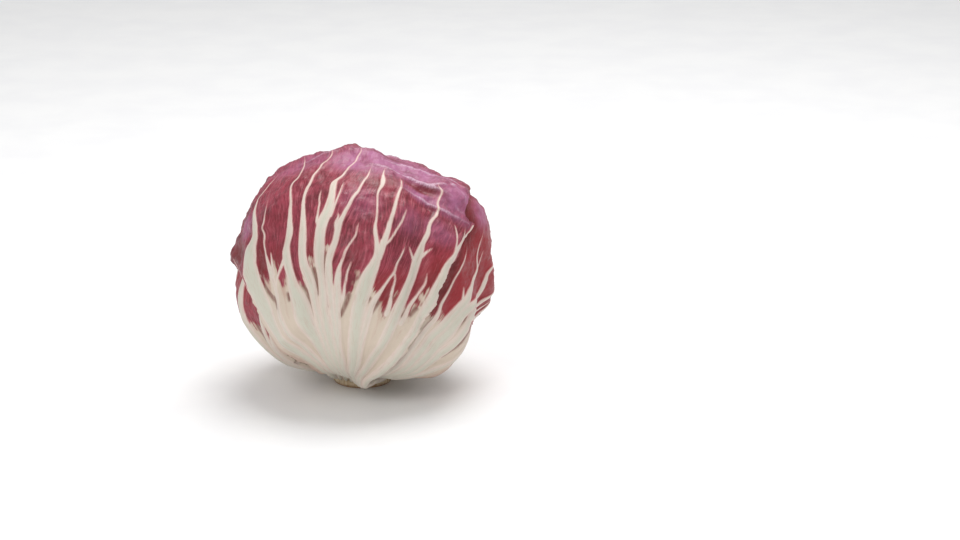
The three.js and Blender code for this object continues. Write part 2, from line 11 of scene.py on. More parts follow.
import bpy
import numpy as np
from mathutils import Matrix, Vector


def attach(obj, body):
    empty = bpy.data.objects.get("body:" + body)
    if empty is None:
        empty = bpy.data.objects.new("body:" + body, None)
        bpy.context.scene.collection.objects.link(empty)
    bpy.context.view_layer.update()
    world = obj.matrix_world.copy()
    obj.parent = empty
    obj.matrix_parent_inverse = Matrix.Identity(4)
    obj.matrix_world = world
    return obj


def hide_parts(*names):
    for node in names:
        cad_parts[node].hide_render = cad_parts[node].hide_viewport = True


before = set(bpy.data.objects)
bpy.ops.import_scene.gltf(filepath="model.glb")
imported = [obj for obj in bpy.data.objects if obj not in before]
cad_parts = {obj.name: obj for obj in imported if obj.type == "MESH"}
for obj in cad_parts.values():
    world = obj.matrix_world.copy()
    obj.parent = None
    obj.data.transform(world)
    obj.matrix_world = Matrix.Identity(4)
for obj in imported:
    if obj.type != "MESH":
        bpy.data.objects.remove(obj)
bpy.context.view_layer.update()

MM = 0.001

# ---- the head, and how its leaves are stacked
HEAD_CENTRE = np.array([-0.6, 0.75, 52]) * MM
HEAD_RADIUS = 53.7 * MM
HEAD_FLOOR = 2.8 * MM
FLOOR_ROUNDING = 5 * MM
UNDERSIDE = -0.5  # the ground limits the head where a direction points lower than this
SWELLS = [  # azimuth, elevation, height, spread
    (2, 26, 5.3 * MM, 17),
    (-2, -30, -2.4 * MM, 12),
    (-34, -40, 5.8 * MM, 24),
    (38, 66, -5.2 * MM, 20),
    (115, 80, -1.6 * MM, 22),
    (-98, -60, -3 * MM, 16),
    (-160, -28, 1.4 * MM, 16),
    (178, 42, 1.2 * MM, 9),
    (176, 62, -0.8 * MM, 14),
]
BLADE = 0.9 * MM
GAP = 1 * MM
RIB_BASE, RIB_TIP = 2.3 * MM, 0.25 * MM  # height of the thickest ribs at a leaf's base and top
RIB_RISE = 140  # degrees over which a rib sinks from one to the other
RIB_SINK = 1.7  # above 1, most of that happens low down
RIB_SIDE = 0.8  # degrees by which a rib's foot is wider than the rib to each side
RIB_FULL_WIDTH = 7  # a rib this wide has its full height
RIB_THIN_SHARE = 0.35  # share of that height that the thinnest rib starts from
BASE_ANGLE = 16  # the leaf bases ring the stem at this angle from straight down
COVER_HOLD = 2.2  # a leaf still carries the next one this far outside its own margin
COVER_FADE = 8  # and lets it down over this many degrees more
PATCH_ANGLE = 16  # the heart makes room for the mean of the leaves over a patch this wide
PATCH_POINTS = 8
ROW_BIAS = 1.12  # above 1, a leaf's rows lie closer near its base
MARGIN_BAND = 9  # a free margin starts to stand off this many degrees inside the outline

# ---- the leaves
# The two leaves that are drawn rib by rib share one map. Ribs are (x, y, width), and sides (x, y), from the
# base to the margin.
DRAWN_MIDDLE = (-90, 17)
FRONT_LEFT_SIDE = [
    (-35, -62), (-46, -46), (-55, -32), (-60.5, -20), (-65.5, -11), (-73, -5), (-83, 2), (-90, 10),
    (-88, 18), (-85, 30), (-82, 45), (-74, 58),
]
FRONT_RIBS = [  # from left to right
    [(-24, -62, 7), (-37, -43, 9), (-46, -30, 11), (-53, -19, 12), (-57.5, -10, 12.5), (-60, 0, 10.5),
     (-59.5, 5, 10.5), (-57, 10, 6.5), (-55, 15, 5), (-56.2, 20, 5), (-58.7, 25, 4.2), (-61.3, 30, 3.5),
     (-61.6, 36, 2), (-61, 40, 1.2), (-58, 43, 1.2), (-55, 48, 0.8), (-52, 56, 0.3), (-58, 65, 0.1)],
    [(-18.5, -62, 5), (-27, -45, 4.5), (-33, -32, 4), (-38, -20, 3.4), (-40, -14, 2.8), (-41.7, -9, 2.8),
     (-43.5, -4, 3.6), (-45.5, 1, 2.4), (-47.2, 5, 1.4), (-48.8, 10.5, 1.2), (-48.5, 15.5, 1.2),
     (-49.8, 19, 1), (-49, 22, 1), (-49.5, 30, 0.5), (-51, 42, 0.2), (-48, 71, 0.1)],
    [(-15, -60, 6), (-20, -42, 7), (-24, -28, 8), (-26.5, -18, 8), (-29.5, -11, 6.5), (-31.2, -5, 5),
     (-32.6, 0, 5.2), (-33.6, 5, 5), (-33.3, 10, 3.8), (-32.6, 15, 4.2), (-33, 20, 3.3), (-33.8, 27, 2.2),
     (-33.8, 31, 1.7), (-34.5, 37, 1.4), (-34.9, 40.5, 1.3), (-34.4, 43, 1.3), (-32.4, 45.7, 1.2),
     (-32, 50.5, 1), (-33, 58, 0.9), (-34.5, 65, 0.5), (-36, 73, 0.2)],
    [(-12.5, -62, 5.5), (-15.5, -44, 5), (-18, -30, 4.4), (-19.8, -20, 4), (-21.2, -10, 5), (-22.4, -5, 5),
     (-24, 0, 4.8), (-24.9, 6, 4.3), (-25, 13, 4.3), (-25.5, 20, 3.5), (-26.4, 27, 2.4), (-26.8, 31, 2.1),
     (-26.7, 35, 1.9), (-26, 38.5, 1.8), (-24.6, 42, 1.6), (-23.5, 47, 1.4), (-21.4, 52, 1.2),
     (-20.2, 57, 1), (-18.4, 59.5, 0.9), (-16.5, 64, 0.7), (-17, 70, 0.4), (-20, 76, 0.2)],
    [(-9, -68, 6), (-12, -48, 6), (-14.5, -32, 6), (-15.8, -20, 5), (-16, -10, 4.4), (-16.6, -4, 4),
     (-17, 2, 4.6), (-16.8, 8, 5.2), (-16.3, 15, 5.2), (-15.2, 20, 5.6), (-13.2, 25, 5.2), (-12.3, 30, 4.2),
     (-12, 35, 3.7), (-11.7, 39.8, 3.5), (-10.7, 41.8, 2.2), (-9, 43.5, 1.6), (-7.7, 45.2, 1.4),
     (-6, 50.3, 1.2), (-5, 54, 1.1), (-3.5, 57, 1), (-2, 60.5, 0.9), (-1, 64, 0.8), (1, 68, 0.5),
     (-4, 80, 0.2)],
    [(-7.2, -68, 5), (-9, -50, 5), (-10.5, -34, 4.6), (-11.8, -20, 3.8), (-12.6, -10, 4), (-13.2, -4, 3.6),
     (-12.8, 1, 3.6), (-11.7, 5.5, 3.6), (-9.8, 10, 3), (-8.6, 15, 3), (-7.6, 19, 2.8), (-6.2, 21.7, 2.2),
     (-5.1, 24.3, 2), (-3.6, 27.2, 1.8), (-2, 31, 1.6), (-0.8, 33.2, 1.6), (0.4, 35, 1.5), (1.3, 37.3, 1.3),
     (3.2, 42, 1.1), (4.7, 44.7, 0.9), (6, 49, 0.5), (8, 58, 0.2), (11, 77, 0.1)],
    [(-4, -68, 6), (-2.5, -50, 7), (-1, -34, 7.5), (1, -20, 7.5), (3.8, -10, 7.4), (5.6, -5, 6.6),
     (8, 0, 5), (9.2, 4, 3.6), (9, 11, 2.3), (8.4, 15, 2.2), (8.6, 18.5, 1.5), (9.3, 22.5, 1.1),
     (9.6, 28, 0.9), (9.8, 34, 1), (10.6, 36.7, 1.6), (12.1, 39.5, 2.2), (12.8, 43, 2.5), (13, 46.5, 1.4),
     (14, 51, 0.3), (26, 74, 0.1)],
    [(-3, -70, 4), (-0.5, -52, 4), (2, -36, 4), (5, -24, 3.6), (7.2, -17.5, 3.2), (9.1, -14.5, 2.6),
     (11.8, -10.7, 1.7), (14.3, -7, 1.4), (17, -3.5, 1.3), (18.3, 0.4, 1), (20.5, 4.3, 0.8), (22.5, 9, 0.3),
     (24.5, 18, 0.1), (27, 33, 0.1), (32, 45, 0.1), (38, 57, 0.1), (47, 68, 0.1)],
    [(-1, -70, 5), (5, -54, 5.5), (11, -39, 6), (15.5, -27, 6), (18.8, -20, 6), (22, -15, 5.8),
     (24.4, -10, 5.4), (26.5, -5, 5), (27.8, 0, 4.9), (29.5, 5, 4.4), (31.3, 10, 2.9), (34.1, 15, 2.6),
     (35.2, 18.8, 2), (36.3, 21, 1.8), (37.8, 22.9, 1.6), (39.4, 24.6, 1.5), (40.8, 27.2, 1.4),
     (41.1, 30, 1.3), (41.5, 32.5, 1.2), (42.7, 35, 1.1), (43.7, 37.7, 1), (43, 40.7, 0.6), (42.5, 43, 0.3),
     (52, 49, 0.1), (67, 50, 0.1)],
    [(3, -71, 5), (11, -57, 5.5), (20, -42, 6), (27.5, -30, 5.6), (33, -20, 5.4), (35.4, -15, 5.4),
     (37.5, -10, 5), (40.2, -5, 4.8), (43.5, 0, 4.2), (46.9, 4, 3.1), (49.2, 7.3, 2.6), (51.3, 9.7, 2.1),
     (54, 13.5, 1), (55.5, 20, 0.2), (56, 28.5, 0.1)],
]
FRONT_RIGHT_SIDE = [
    (5, -72), (14, -58), (24, -42), (31.5, -30), (36, -20), (38, -14.5), (40.3, -9), (43.7, -3.8),
    (48, 2.5), (53.5, 10), (58, 15.8), (61, 21.3),
]
# Arms and finer veins, which branch off the ribs.
FRONT_FORKS = [
    [(9.5, 3, 4), (11.2, 7.5, 3.8), (12.6, 11, 3.2), (13.9, 14.5, 2.8), (15.3, 19.5, 2.3), (16.6, 23.5, 2),
     (17.6, 27.5, 1.8), (18.6, 31, 1.6), (20, 35, 1.4), (21.3, 38, 1.2), (21.9, 41, 1), (22.6, 46, 0.3)],
    [(55, 14, 1.8), (53, 11.5, 1.9), (51.3, 9.7, 2)],
    [(54, 13.2, 1.8), (56.6, 15.4, 1.6), (58.8, 17.5, 1.4), (60.9, 20.6, 1.1)],
    [(-16.8, 16, 2), (-18.2, 20, 2), (-18.2, 24, 1.2), (-17.9, 28.7, 1.1), (-18.4, 32, 0.9),
     (-18, 37, 0.3)],
    [(-12, 22, 2), (-10.6, 26, 1.6), (-9.4, 30, 1.2), (-8.3, 33.5, 1), (-7.2, 38, 0.6), (-6.6, 41, 0.2)],
    [(-9, 15, 2), (-9.4, 18.5, 1.6), (-8.4, 21, 1), (-8.3, 23.5, 0.3)],
    [(-9.5, -38, 4), (-9.3, -22, 4), (-9, -15, 4), (-8.8, -10, 3.6), (-8.3, -5, 3.3), (-7.9, -1.8, 2.2),
     (-7, 0.5, 1.6), (-6.2, 2.5, 1.4), (-5, 6, 1.2), (-3.1, 9.2, 1.1), (-1.8, 11, 1), (-0.3, 13.6, 0.9),
     (0.3, 17, 0.6), (1.3, 20, 0.2)],
    [(-8, -20, 2), (-6, -14, 2), (-5.4, -10, 1.4), (-4.8, -7, 1.2), (-4.1, -3.5, 1.1), (-3.1, -1, 0.9),
     (-2, 2, 0.3)],
    [(12.2, 8.5, 1.4), (14.4, 10.2, 1.3), (16.4, 12.8, 1.2), (18, 15.5, 1.1), (20.4, 19.5, 1),
     (21.5, 22.2, 0.8), (23, 26, 0.3)],
    [(13, -22, 2.6), (14.8, -17.7, 2.2), (15.6, -14, 1.7), (16.4, -10.8, 1.4), (17.3, -8, 1.1),
     (17.4, -5.5, 1), (17, -3.6, 1)],
    [(30, 3.5, 3), (32, 5, 1.8), (33.6, 6.3, 1.2), (35.8, 7.8, 0.3)],
    [(27.5, 0.5, 2.4), (26.2, 3.2, 1.6), (25.2, 5.6, 1), (24, 8.6, 0.3)],
    [(20, -27, 3), (22.5, -23.5, 2.6), (25.2, -19.5, 2), (27.5, -16.4, 1.5), (29.7, -13, 1.1),
     (32, -8.7, 0.8), (32.8, -4, 0.3)],
    [(47.3, 4.5, 2.4), (48.3, 8, 1.5), (49, 12, 1.1), (49.5, 16, 1), (48.9, 20, 0.4)],
    [(-42, -5, 3), (-42.6, 1, 1.8), (-43.6, 5.8, 0.5)],
    [(-34.5, 2, 3), (-36.5, -1, 2), (-39.5, -7, 1.6), (-40.5, -12, 1.6)],
    [(-79, 3.2, 0.6), (-72, -4.5, 0.7), (-65.5, -10.4, 0.7), (-62, -15.5, 0.7), (-59.8, -20, 0.7)],
]
# Where the red of the blade sets in between the ribs, from left to right.
FRONT_BLADE_STARTS = [
    (-80, -10), (-66, -16), (-56, -8), (-50, -9.5), (-45, -8), (-42.5, 1), (-40, -3), (-37, -9), (-34, -9),
    (-30, -6), (-27, -9), (-25, -10), (-22, 1), (-19.5, 1), (-16, 7), (-12.5, 7), (-10.7, -6), (-7, -13),
    (-3.5, -14), (-1.5, -10), (1, -5.5), (4, -3), (6.5, -8), (9, -14), (11, -20), (14, -20), (19, -14),
    (24, -22), (28, -20), (31, -15), (35, -12), (50, -16),
]
# Soft patches of tone: x, y, half width, half height, tilt, strength. The lilac bloom patches are partly the
# leaf's waxy bloom and partly painted sheen.
FRONT_BLOOM_AND_SHEEN = [
    (6, 60, 22, 12, 0, 1.0), (30, 56, 26, 12, -14, 1.0), (33, 35, 12, 3.6, -22, 0.9),
    (52, 36, 12, 10, -40, 0.9), (50, 25, 12, 3.5, -24, 0.55), (-68, 22, 7, 8, 0, 0.8),
    (-30, 62, 26, 9, 12, 0.45), (40, 16, 10, 6, -30, 0.35), (2, 30, 10, 8, 0, 0.25), (25, 20, 7, 7, 0, 0.3),
]
FRONT_SHADE = [
    (-50.5, 1, 3.6, 14, -4, 1.0), (-78, 7, 13, 9, 0, 1.0), (-33, 3, 3, 10, 10, 0.7),
    (-24.5, 12, 2.5, 12, 0, 0.4), (34, 41, 13, 2.4, -20, 0.8), (12, 41, 9, 3, -6, 0.5),
    (-85, 8, 8, 6, 0, 1.0), (-12, 77, 4, 2.4, 0, 0.9), (20, 66, 16, 1.6, -12, 0.8), (14, -14, 6, 5, 0, 0.5),
    (33, -10, 4, 12, -32, 0.5), (-43, 22, 9, 7, 0, 0.3), (-29, -6, 2, 5, 0, 0.8), (-21, 4, 2, 5, 0, 0.7),
    (-40, 4, 4, 7, 0, 0.5), (-2, 2, 4, 9, -20, 0.4),
]
FRONT_RUDDY = [
    (12, -12, 16, 9, 20, 0.8), (38, -8, 10, 18, -32, 0.9), (-18, 6, 8, 9, 0, 0.5), (-46, 0, 10, 12, 0, 0.4),
]
# Furrows between the ribs in the pale base, sunk into the surface and darkened with painted shade.
FRONT_GROOVES = [
    [(-50, -9, 1), (-48, -13, 1.6), (-44.5, -16.5, 2), (-41, -18, 2), (-39, -21, 1.4)],
    [(-32.8, -14, 1), (-31.8, -16.5, 1)],
    [(-25, -10, 1.2), (-23.3, -12.7, 1.2), (-22.3, -16.5, 1.2), (-21, -20, 1), (-20, -24.5, 0.8)],
    [(-19.5, -2, 1.2), (-18.9, -5.7, 1.2), (-18.5, -9, 1), (-18.6, -14, 0.7)],
    [(-14.5, 5, 1.2), (-15.2, 0, 1), (-13.4, -10, 0.8), (-13, -20, 0.6)],
    [(-3.5, -14, 1.4), (-4.5, -17, 1.4), (-6.3, -21, 1.2), (-7.5, -24, 1)],
    [(5.7, -15.5, 1.2), (4, -18, 0.8)],
    [(8.3, -19, 1.2), (6.9, -21, 1), (4.8, -23.5, 0.8)],
    [(15, -10, 1.2), (11, -15.5, 1.4), (8, -19.5, 1)],
    [(16, -15, 1.4), (12, -21, 1)],
    [(25, -20, 1.4), (21, -24, 1.2)],
    [(28, -21, 1.2), (25, -24, 1)],
    [(34, -16, 1.6), (30, -25, 1.6)],
]
# Long folds of the blade: height in millimetres, then (x, y, width).
FRONT_CREASES = [
    (0.7, [(6, 55.5, 0.3), (20, 52, 2.2), (34, 45, 2.2), (50, 35, 0.3)]),
    (-0.5, [(8, 49.5, 0.3), (24, 45, 3), (38, 38.5, 3), (50, 31, 0.3)]),
    (0.7, [(14, 62, 0.3), (30, 60, 1.8), (46, 53, 1.8), (62, 40, 0.3)]),
    (-0.4, [(10, 58, 0.3), (28, 55.5, 2.6), (44, 47, 2.6), (54, 39, 0.3)]),
    (0.65, [(20, 37.5, 0.3), (32, 34, 1.8), (44, 27, 1.8), (58, 21.5, 0.6)]),
    (-0.45, [(24, 31.5, 0.3), (36, 29, 2.6), (50, 21.5, 0.3)]),
    (0.6, [(-4, 69, 0.3), (8, 70.5, 2), (24, 70, 2), (38, 67, 0.3)]),
    (0.5, [(-42, 58, 0.3), (-30, 63.5, 2), (-18, 68, 2), (-6, 72, 0.3)]),
    (0.6, [(28, 49, 0.3), (36, 44.5, 1.6), (46, 43, 1.6), (54, 44, 0.3)]),
    (0.5, [(40, 56, 0.3), (50, 46, 1.6), (56, 36, 1.6), (58, 26, 0.3)]),
    (0.5, [(46, 36, 0.3), (50, 31, 1.6), (55, 27.5, 1.6), (59, 26, 0.3)]),
]
# Lifts of the whole leaf: x, y, height, spread.
FRONT_LIFTS = [(-5, 80, 1.9 * MM, 7), (-87, 4, 2.2 * MM, 7), (61, 21, 0.5 * MM, 6), (-42, -51, 0.7 * MM, 7)]
FRONT_LEAF = {
    "name": "leaf_front", "slot": "front_leaf", "azimuth": -90, "base_turn": (-62, 58), "rim": 0.4 * MM,
    "stoutness": 1, "seed": 11, "rows": 256, "steps": 32,
    "left": FRONT_LEFT_SIDE, "ribs": FRONT_RIBS, "right": FRONT_RIGHT_SIDE, "forks": FRONT_FORKS,
    "blade_starts": FRONT_BLADE_STARTS, "grooves": FRONT_GROOVES, "creases": FRONT_CREASES,
    "lifts": FRONT_LIFTS, "bloom_and_sheen": FRONT_BLOOM_AND_SHEEN, "shade": FRONT_SHADE, "ruddy": FRONT_RUDDY,
}
FRONT_RIGHT_LEAF = {
    "name": "leaf_front_right", "slot": "outer_leaf", "azimuth": -38, "base_turn": (-52, 52), "rim": 0.4 * MM,
    "stoutness": 0.9, "seed": 23, "rows": 220, "steps": 40, "creases": [], "lifts": [],
    "left": [(4, -78), (11, -66), (19, -50), (26, -36), (32, -22), (37, -8), (42, 8), (47, 26), (49, 44)],
    "ribs": [
        [(6, -80, 4), (15, -64, 4), (26, -46, 3.6), (35.5, -32, 3), (39.5, -25, 2.4), (41, -20, 2),
         (43, -17, 1.7), (46.5, -12.5, 1.4), (49.5, -8.5, 1.1), (54.5, -2, 1), (57.5, 3, 0.7),
         (59.5, 9, 0.3), (60.5, 20, 0.1), (61.5, 34, 0.1), (62, 47, 0.1)],
        [(9, -79, 6), (20, -62, 6), (33, -44, 6), (42, -32, 6), (47, -26, 5.4), (50.5, -22.5, 5.2),
         (53.5, -20, 5), (56, -18, 4.6), (59, -14.5, 3.8), (61.5, -12.5, 3.2), (66, -7.5, 2.7),
         (69.5, -2.5, 2), (68.5, 3.5, 1.3), (69, 8, 0.8), (70, 14, 0.5), (72, 24, 0.2), (76, 42, 0.1)],
        [(11, -80, 7), (26, -61, 7), (39, -45, 7), (47, -32, 7), (51.5, -25.5, 6.4), (56, -23, 6),
         (61.5, -21, 4.6), (67.5, -20, 4), (71.5, -18.5, 3.8), (74, -15.5, 3.6), (75.5, -12.5, 3.2),
         (77, -9, 2.7), (78, -6, 2.2), (81, -2.5, 1.8), (85, 0.5, 1.4), (92, 8, 0.8), (98, 27, 0.1)],
        [(14, -80, 6), (30, -62, 6), (45, -46, 6), (53, -34.5, 5.4), (57.5, -27.5, 4.8), (61.5, -25, 4),
         (67, -25.4, 3.2), (72, -25, 2.8), (75, -23.5, 2.6), (78.5, -21.5, 2.4), (82, -19.5, 2),
         (87, -16, 1.6), (95, -9, 0.8), (106, 4, 0.3)],
        [(16, -81, 5), (32, -66, 5), (45, -57, 4), (57, -48, 4), (67, -40, 3.4), (77, -33, 2.6),
         (87, -26, 2), (98, -17, 1), (110, -8, 0.3)],
    ],
    "right": [(15, -84), (28, -76), (44, -69), (60, -65), (78, -58), (94, -49), (106, -40)],
    "forks": [
        [(52.5, -20.5, 3), (53.5, -17, 1.8), (55, -12, 0.5)],
        [(68.5, -4, 1), (71.5, 1, 0.8), (73, 8, 0.4)],
        [(60, -28.5, 3), (68, -30, 2), (76, -28, 1.4), (84, -24, 0.5)],
    ],
    "blade_starts": [(30, -24), (40, -27), (46, -28), (54, -27), (60, -34), (70, -45), (90, -50), (110, -44)],
    "bloom_and_sheen": [(72, 30, 8, 10, 0, 0.7), (62, -40, 12, 6, 20, 0.3)],
    "shade": [
        (45, -7, 5, 20, -32, 1.0), (36, -22, 3, 10, -30, 0.8), (61, 22, 5, 13, 0, 1.0),
        (78, -26, 12, 5, 20, 0.5),
    ],
    "ruddy": [(66, -8, 34, 32, 0, 1.0)],
    "grooves": [
        [(40, -24, 1), (36, -30, 1.2), (30, -40, 1.2)],
        [(50, -27, 1.4), (45, -31, 1.4), (38, -42, 1.4)],
        [(57, -25, 1), (52, -29, 1.2), (44, -40, 1.2)],
        [(60, -34, 1.6), (52, -42, 1.6), (44, -50, 1.4)],
    ],
}

# The other wrapper leaves are fans of ribs.
FAN_ELEVATION = 12
FAN_RIBS = 7
FAN_BASE_TURN = 52  # degrees round the stem from the middle of a leaf's base to its side
FAN_SWEEP = 104  # bearing of a side's end, seen from the middle of the fan
FAN_MIDDLE = 2
FAN_SHOULDER = -48
FAN_RIB_WIDTH = 7
FAN_SIDE_THINNING = 0.45
FAN_LIFT = 0.5 * MM
FAN_HEEL = (0.4, 0.6)  # shares of the way from the base, across and up, at which a rib has its heel
FAN_STATIONS = [(0.74, 0.35, 0.7), (0.92, 0.72, 0.4)]  # reach, rise, width
FAN_TIP_WIDTH = 0.3
FAN_FOLD = [(-20, 0.3), (-7, 3), (7, 3), (20, 0.3)]  # across, width
FAN_RIPPLES = [(0.035, 7, 1), (0.02, 12, 2)]  # size, turns, phase
INNER_FAN = {"slot": "inner_leaf", "rows": 150, "steps": 20}
OUTER_FAN = {"slot": "outer_leaf", "rows": 230, "steps": 28}
FAN_KEYS = ("name", "azimuth", "half_width", "top", "lean", "wave", "stoutness", "seed")
FANS = [
    common | dict(zip(FAN_KEYS, own))
    for common, *own in [
        (INNER_FAN, "leaf_inner_back_left", 146, 52, 68, 8, 0.4, 0.45, 31),
        (INNER_FAN, "leaf_inner_right", 8, 52, 66, -8, 1.7, 0.5, 32),
        (INNER_FAN, "leaf_inner_front_left", -132, 52, 70, 9, 2.9, 0.55, 33),
        (OUTER_FAN, "leaf_back", 103, 58, 76, -9, 4.1, 0.8, 41),
        (OUTER_FAN, "leaf_left", 174, 61, 78, 8, 0.9, 1, 42),
        (OUTER_FAN, "leaf_back_right", 58, 58, 74, -6, 2.2, 1, 43),
    ]
]
# Seeded patches of a fan: how many, the ranges of x, y and tilt, then half width, half height and strength.
FAN_SPOTS = {
    # Bloom patches are partly lilac waxy bloom and partly painted sheen.
    "bloom_and_sheen": (4, (-40, 40), (20, 70), (-30, 30), 22, 12, 0.8),
    "shade": (6, (-50, 50), (-10, 60), (-20, 20), 5, 14, 0.6),
    "ruddy": (4, (-50, 50), (-20, 30), None, 14, 14, 0.6),
}
FAN_BLADE_STARTS = (-46, -30)  # the red sets in between these heights, at each of the places across the leaf
FAN_BLADE_PLACES = np.linspace(-70, 70, 12)
FAN_GROOVE_WIDTH = 1.4
FAN_CREASES = 5
FAN_CREASE_PLACE = ((-30, 30), (35, 66), (-0.3, 0.3))  # ranges of x, y and slope
FAN_CREASE_BEND = 0.006
FAN_CREASE_HEIGHTS = [-0.4, 0.5]


# ---- curves, maps and noise
def clamp(value, low=0.0, high=1.0):
    return np.minimum(np.maximum(value, low), high)


def smoothstep(value, low, high):
    t = clamp((value - low) / (high - low))
    return t * t * (3 - 2 * t)


def lerp(a, b, share):
    return a + (b - a) * share


def direction(azimuth, elevation):
    azimuth, elevation = np.radians(azimuth), np.radians(elevation)
    flat = np.cos(elevation)
    return np.stack([flat * np.cos(azimuth), flat * np.sin(azimuth), np.sin(elevation) + 0 * azimuth], -1)


class LeafMap:
    """A flat map of the head, true in distance and bearing from its middle."""

    def __init__(self, azimuth, elevation):
        self.middle = direction(azimuth, elevation)
        self.right = direction(azimuth + 90, 0)
        self.up = np.cross(self.middle, self.right)

    def to_direction(self, points):
        reach = np.hypot(points[:, 0], points[:, 1])
        angle = np.radians(reach)
        aside = np.sin(angle)[:, None] * points / np.maximum(reach, 1e-9)[:, None]
        return np.cos(angle)[:, None] * self.middle + aside[:, :1] * self.right + aside[:, 1:] * self.up

    def to_map(self, ways):
        angle = np.degrees(np.arccos(clamp(ways @ self.middle, -1)))
        aside = np.stack([ways @ self.right, ways @ self.up], -1)
        return aside * (angle / np.maximum(np.linalg.norm(aside, axis=-1), 1e-9))[:, None]


def through(points, steps):
    """Centripetal Catmull-Rom curves through points along the first axis, with so many steps to a span."""
    padded = np.concatenate([2 * points[:1] - points[1:2], points, 2 * points[-1:] - points[-2:-1]])
    gaps = np.sqrt(np.linalg.norm(np.diff(padded, axis=0), axis=-1, keepdims=True))
    gaps = np.maximum(gaps, 1e-6)
    before, here, there, after = padded[:-3], padded[1:-2], padded[2:-1], padded[3:]
    g0, g1, g2 = gaps[:-2], gaps[1:-1], gaps[2:]
    leave = ((here - before) / g0 - (there - before) / (g0 + g1)) * g1 + (there - here)
    arrive = ((after - there) / g2 - (after - here) / (g1 + g2)) * g1 + (there - here)
    t = (np.arange(steps) / steps).reshape((1, steps) + (1,) * (points.ndim - 1))
    here, there, leave, arrive = (a[:, None] for a in (here, there, leave, arrive))
    curve = (
        (2 * t**3 - 3 * t**2 + 1) * here
        + (t**3 - 2 * t**2 + t) * leave
        + (3 * t**2 - 2 * t**3) * there
        + (t**3 - t**2) * arrive
    )
    return np.concatenate([curve.reshape((-1,) + points.shape[1:]), points[-1:]])


def spaced(points, shares):
    """Points at these shares of the length of the smooth curve through the given points."""
    dense = through(np.array(points, float), 24)
    length = np.concatenate([[0], np.cumsum(np.linalg.norm(np.diff(dense, axis=0), axis=1))])
    return np.stack([np.interp(shares * length[-1], length, c) for c in dense.T], -1)


def segment_distance(points, a, b):
    """Distance from points to one segment, and the share along it of the nearest point."""
    along = b - a
    t = clamp(((points - a) @ along) / max(along @ along, 1e-12))
    away = points - a - t[:, None] * along
    return np.hypot(away[:, 0], away[:, 1]), t


def outline_distance(outline, points):
    """Degrees from points to a closed outline, negative inside it."""
    nearest = np.full(len(points), np.inf)
    inside = np.zeros(len(points), bool)
    x, y = points.T
    for a, b in zip(outline, np.roll(outline, -1, axis=0)):
        nearest = np.minimum(nearest, segment_distance(points, a, b)[0])
        if a[1] != b[1]:
            crosses = (a[1] > y) != (b[1] > y)
            inside ^= crosses & (x < (b[0] - a[0]) * (y - a[1]) / (b[1] - a[1]) + a[0])
    return np.where(inside, -nearest, nearest)


def waves(points, length, seed, count=22):
    """Smooth noise of about unit height: plane waves of about this length in seeded directions."""
    rng = np.random.default_rng(seed)
    total = np.zeros(len(points))
    for _ in range(count):
        way = rng.normal(size=points.shape[1])
        way *= 2 * math.pi / (length * rng.uniform(0.7, 1.6) * np.linalg.norm(way))
        total += np.sin(points @ way + rng.uniform(0, 2 * math.pi))
    return total * math.sqrt(2 / count)


SPOT_EDGE = (0.35, 1.5)  # a spot fades between these shares of its half width


def patches(points, spots):
    """The strongest of several soft tilted spots at each point."""
    best = np.zeros(len(points))
    for x, y, half_width, half_height, tilt, strength in spots:
        c, s = math.cos(math.radians(tilt)), math.sin(math.radians(tilt))
        dx, dy = points[:, 0] - x, points[:, 1] - y
        away = np.hypot((c * dx + s * dy) / half_width, (c * dy - s * dx) / half_height)
        best = np.maximum(best, strength * (1 - smoothstep(away, *SPOT_EDGE)))
    return best


# ---- leaves on their maps
def base_point(leaf_map, azimuth, turn):
    return leaf_map.to_map(direction(azimuth + turn, BASE_ANGLE - 90)[None])[0]


def drawn_leaf(leaf):
    leaf_map = LeafMap(*DRAWN_MIDDLE)
    lines = [[(*p, 0) for p in leaf["left"]], *leaf["ribs"], [(*p, 0) for p in leaf["right"]]]
    turns = np.linspace(*leaf["base_turn"], len(lines))
    bases = [base_point(leaf_map, leaf["azimuth"], turn) for turn in turns]
    lines = [[(*base, line[0][2]), *line] for base, line in zip(bases, lines)]
    veins = [np.array(line, float) for line in [*lines[1:-1], *leaf["forks"]]]
    return leaf | {"map": leaf_map, "lines": lines, "veins": veins, "wave": 0.0}


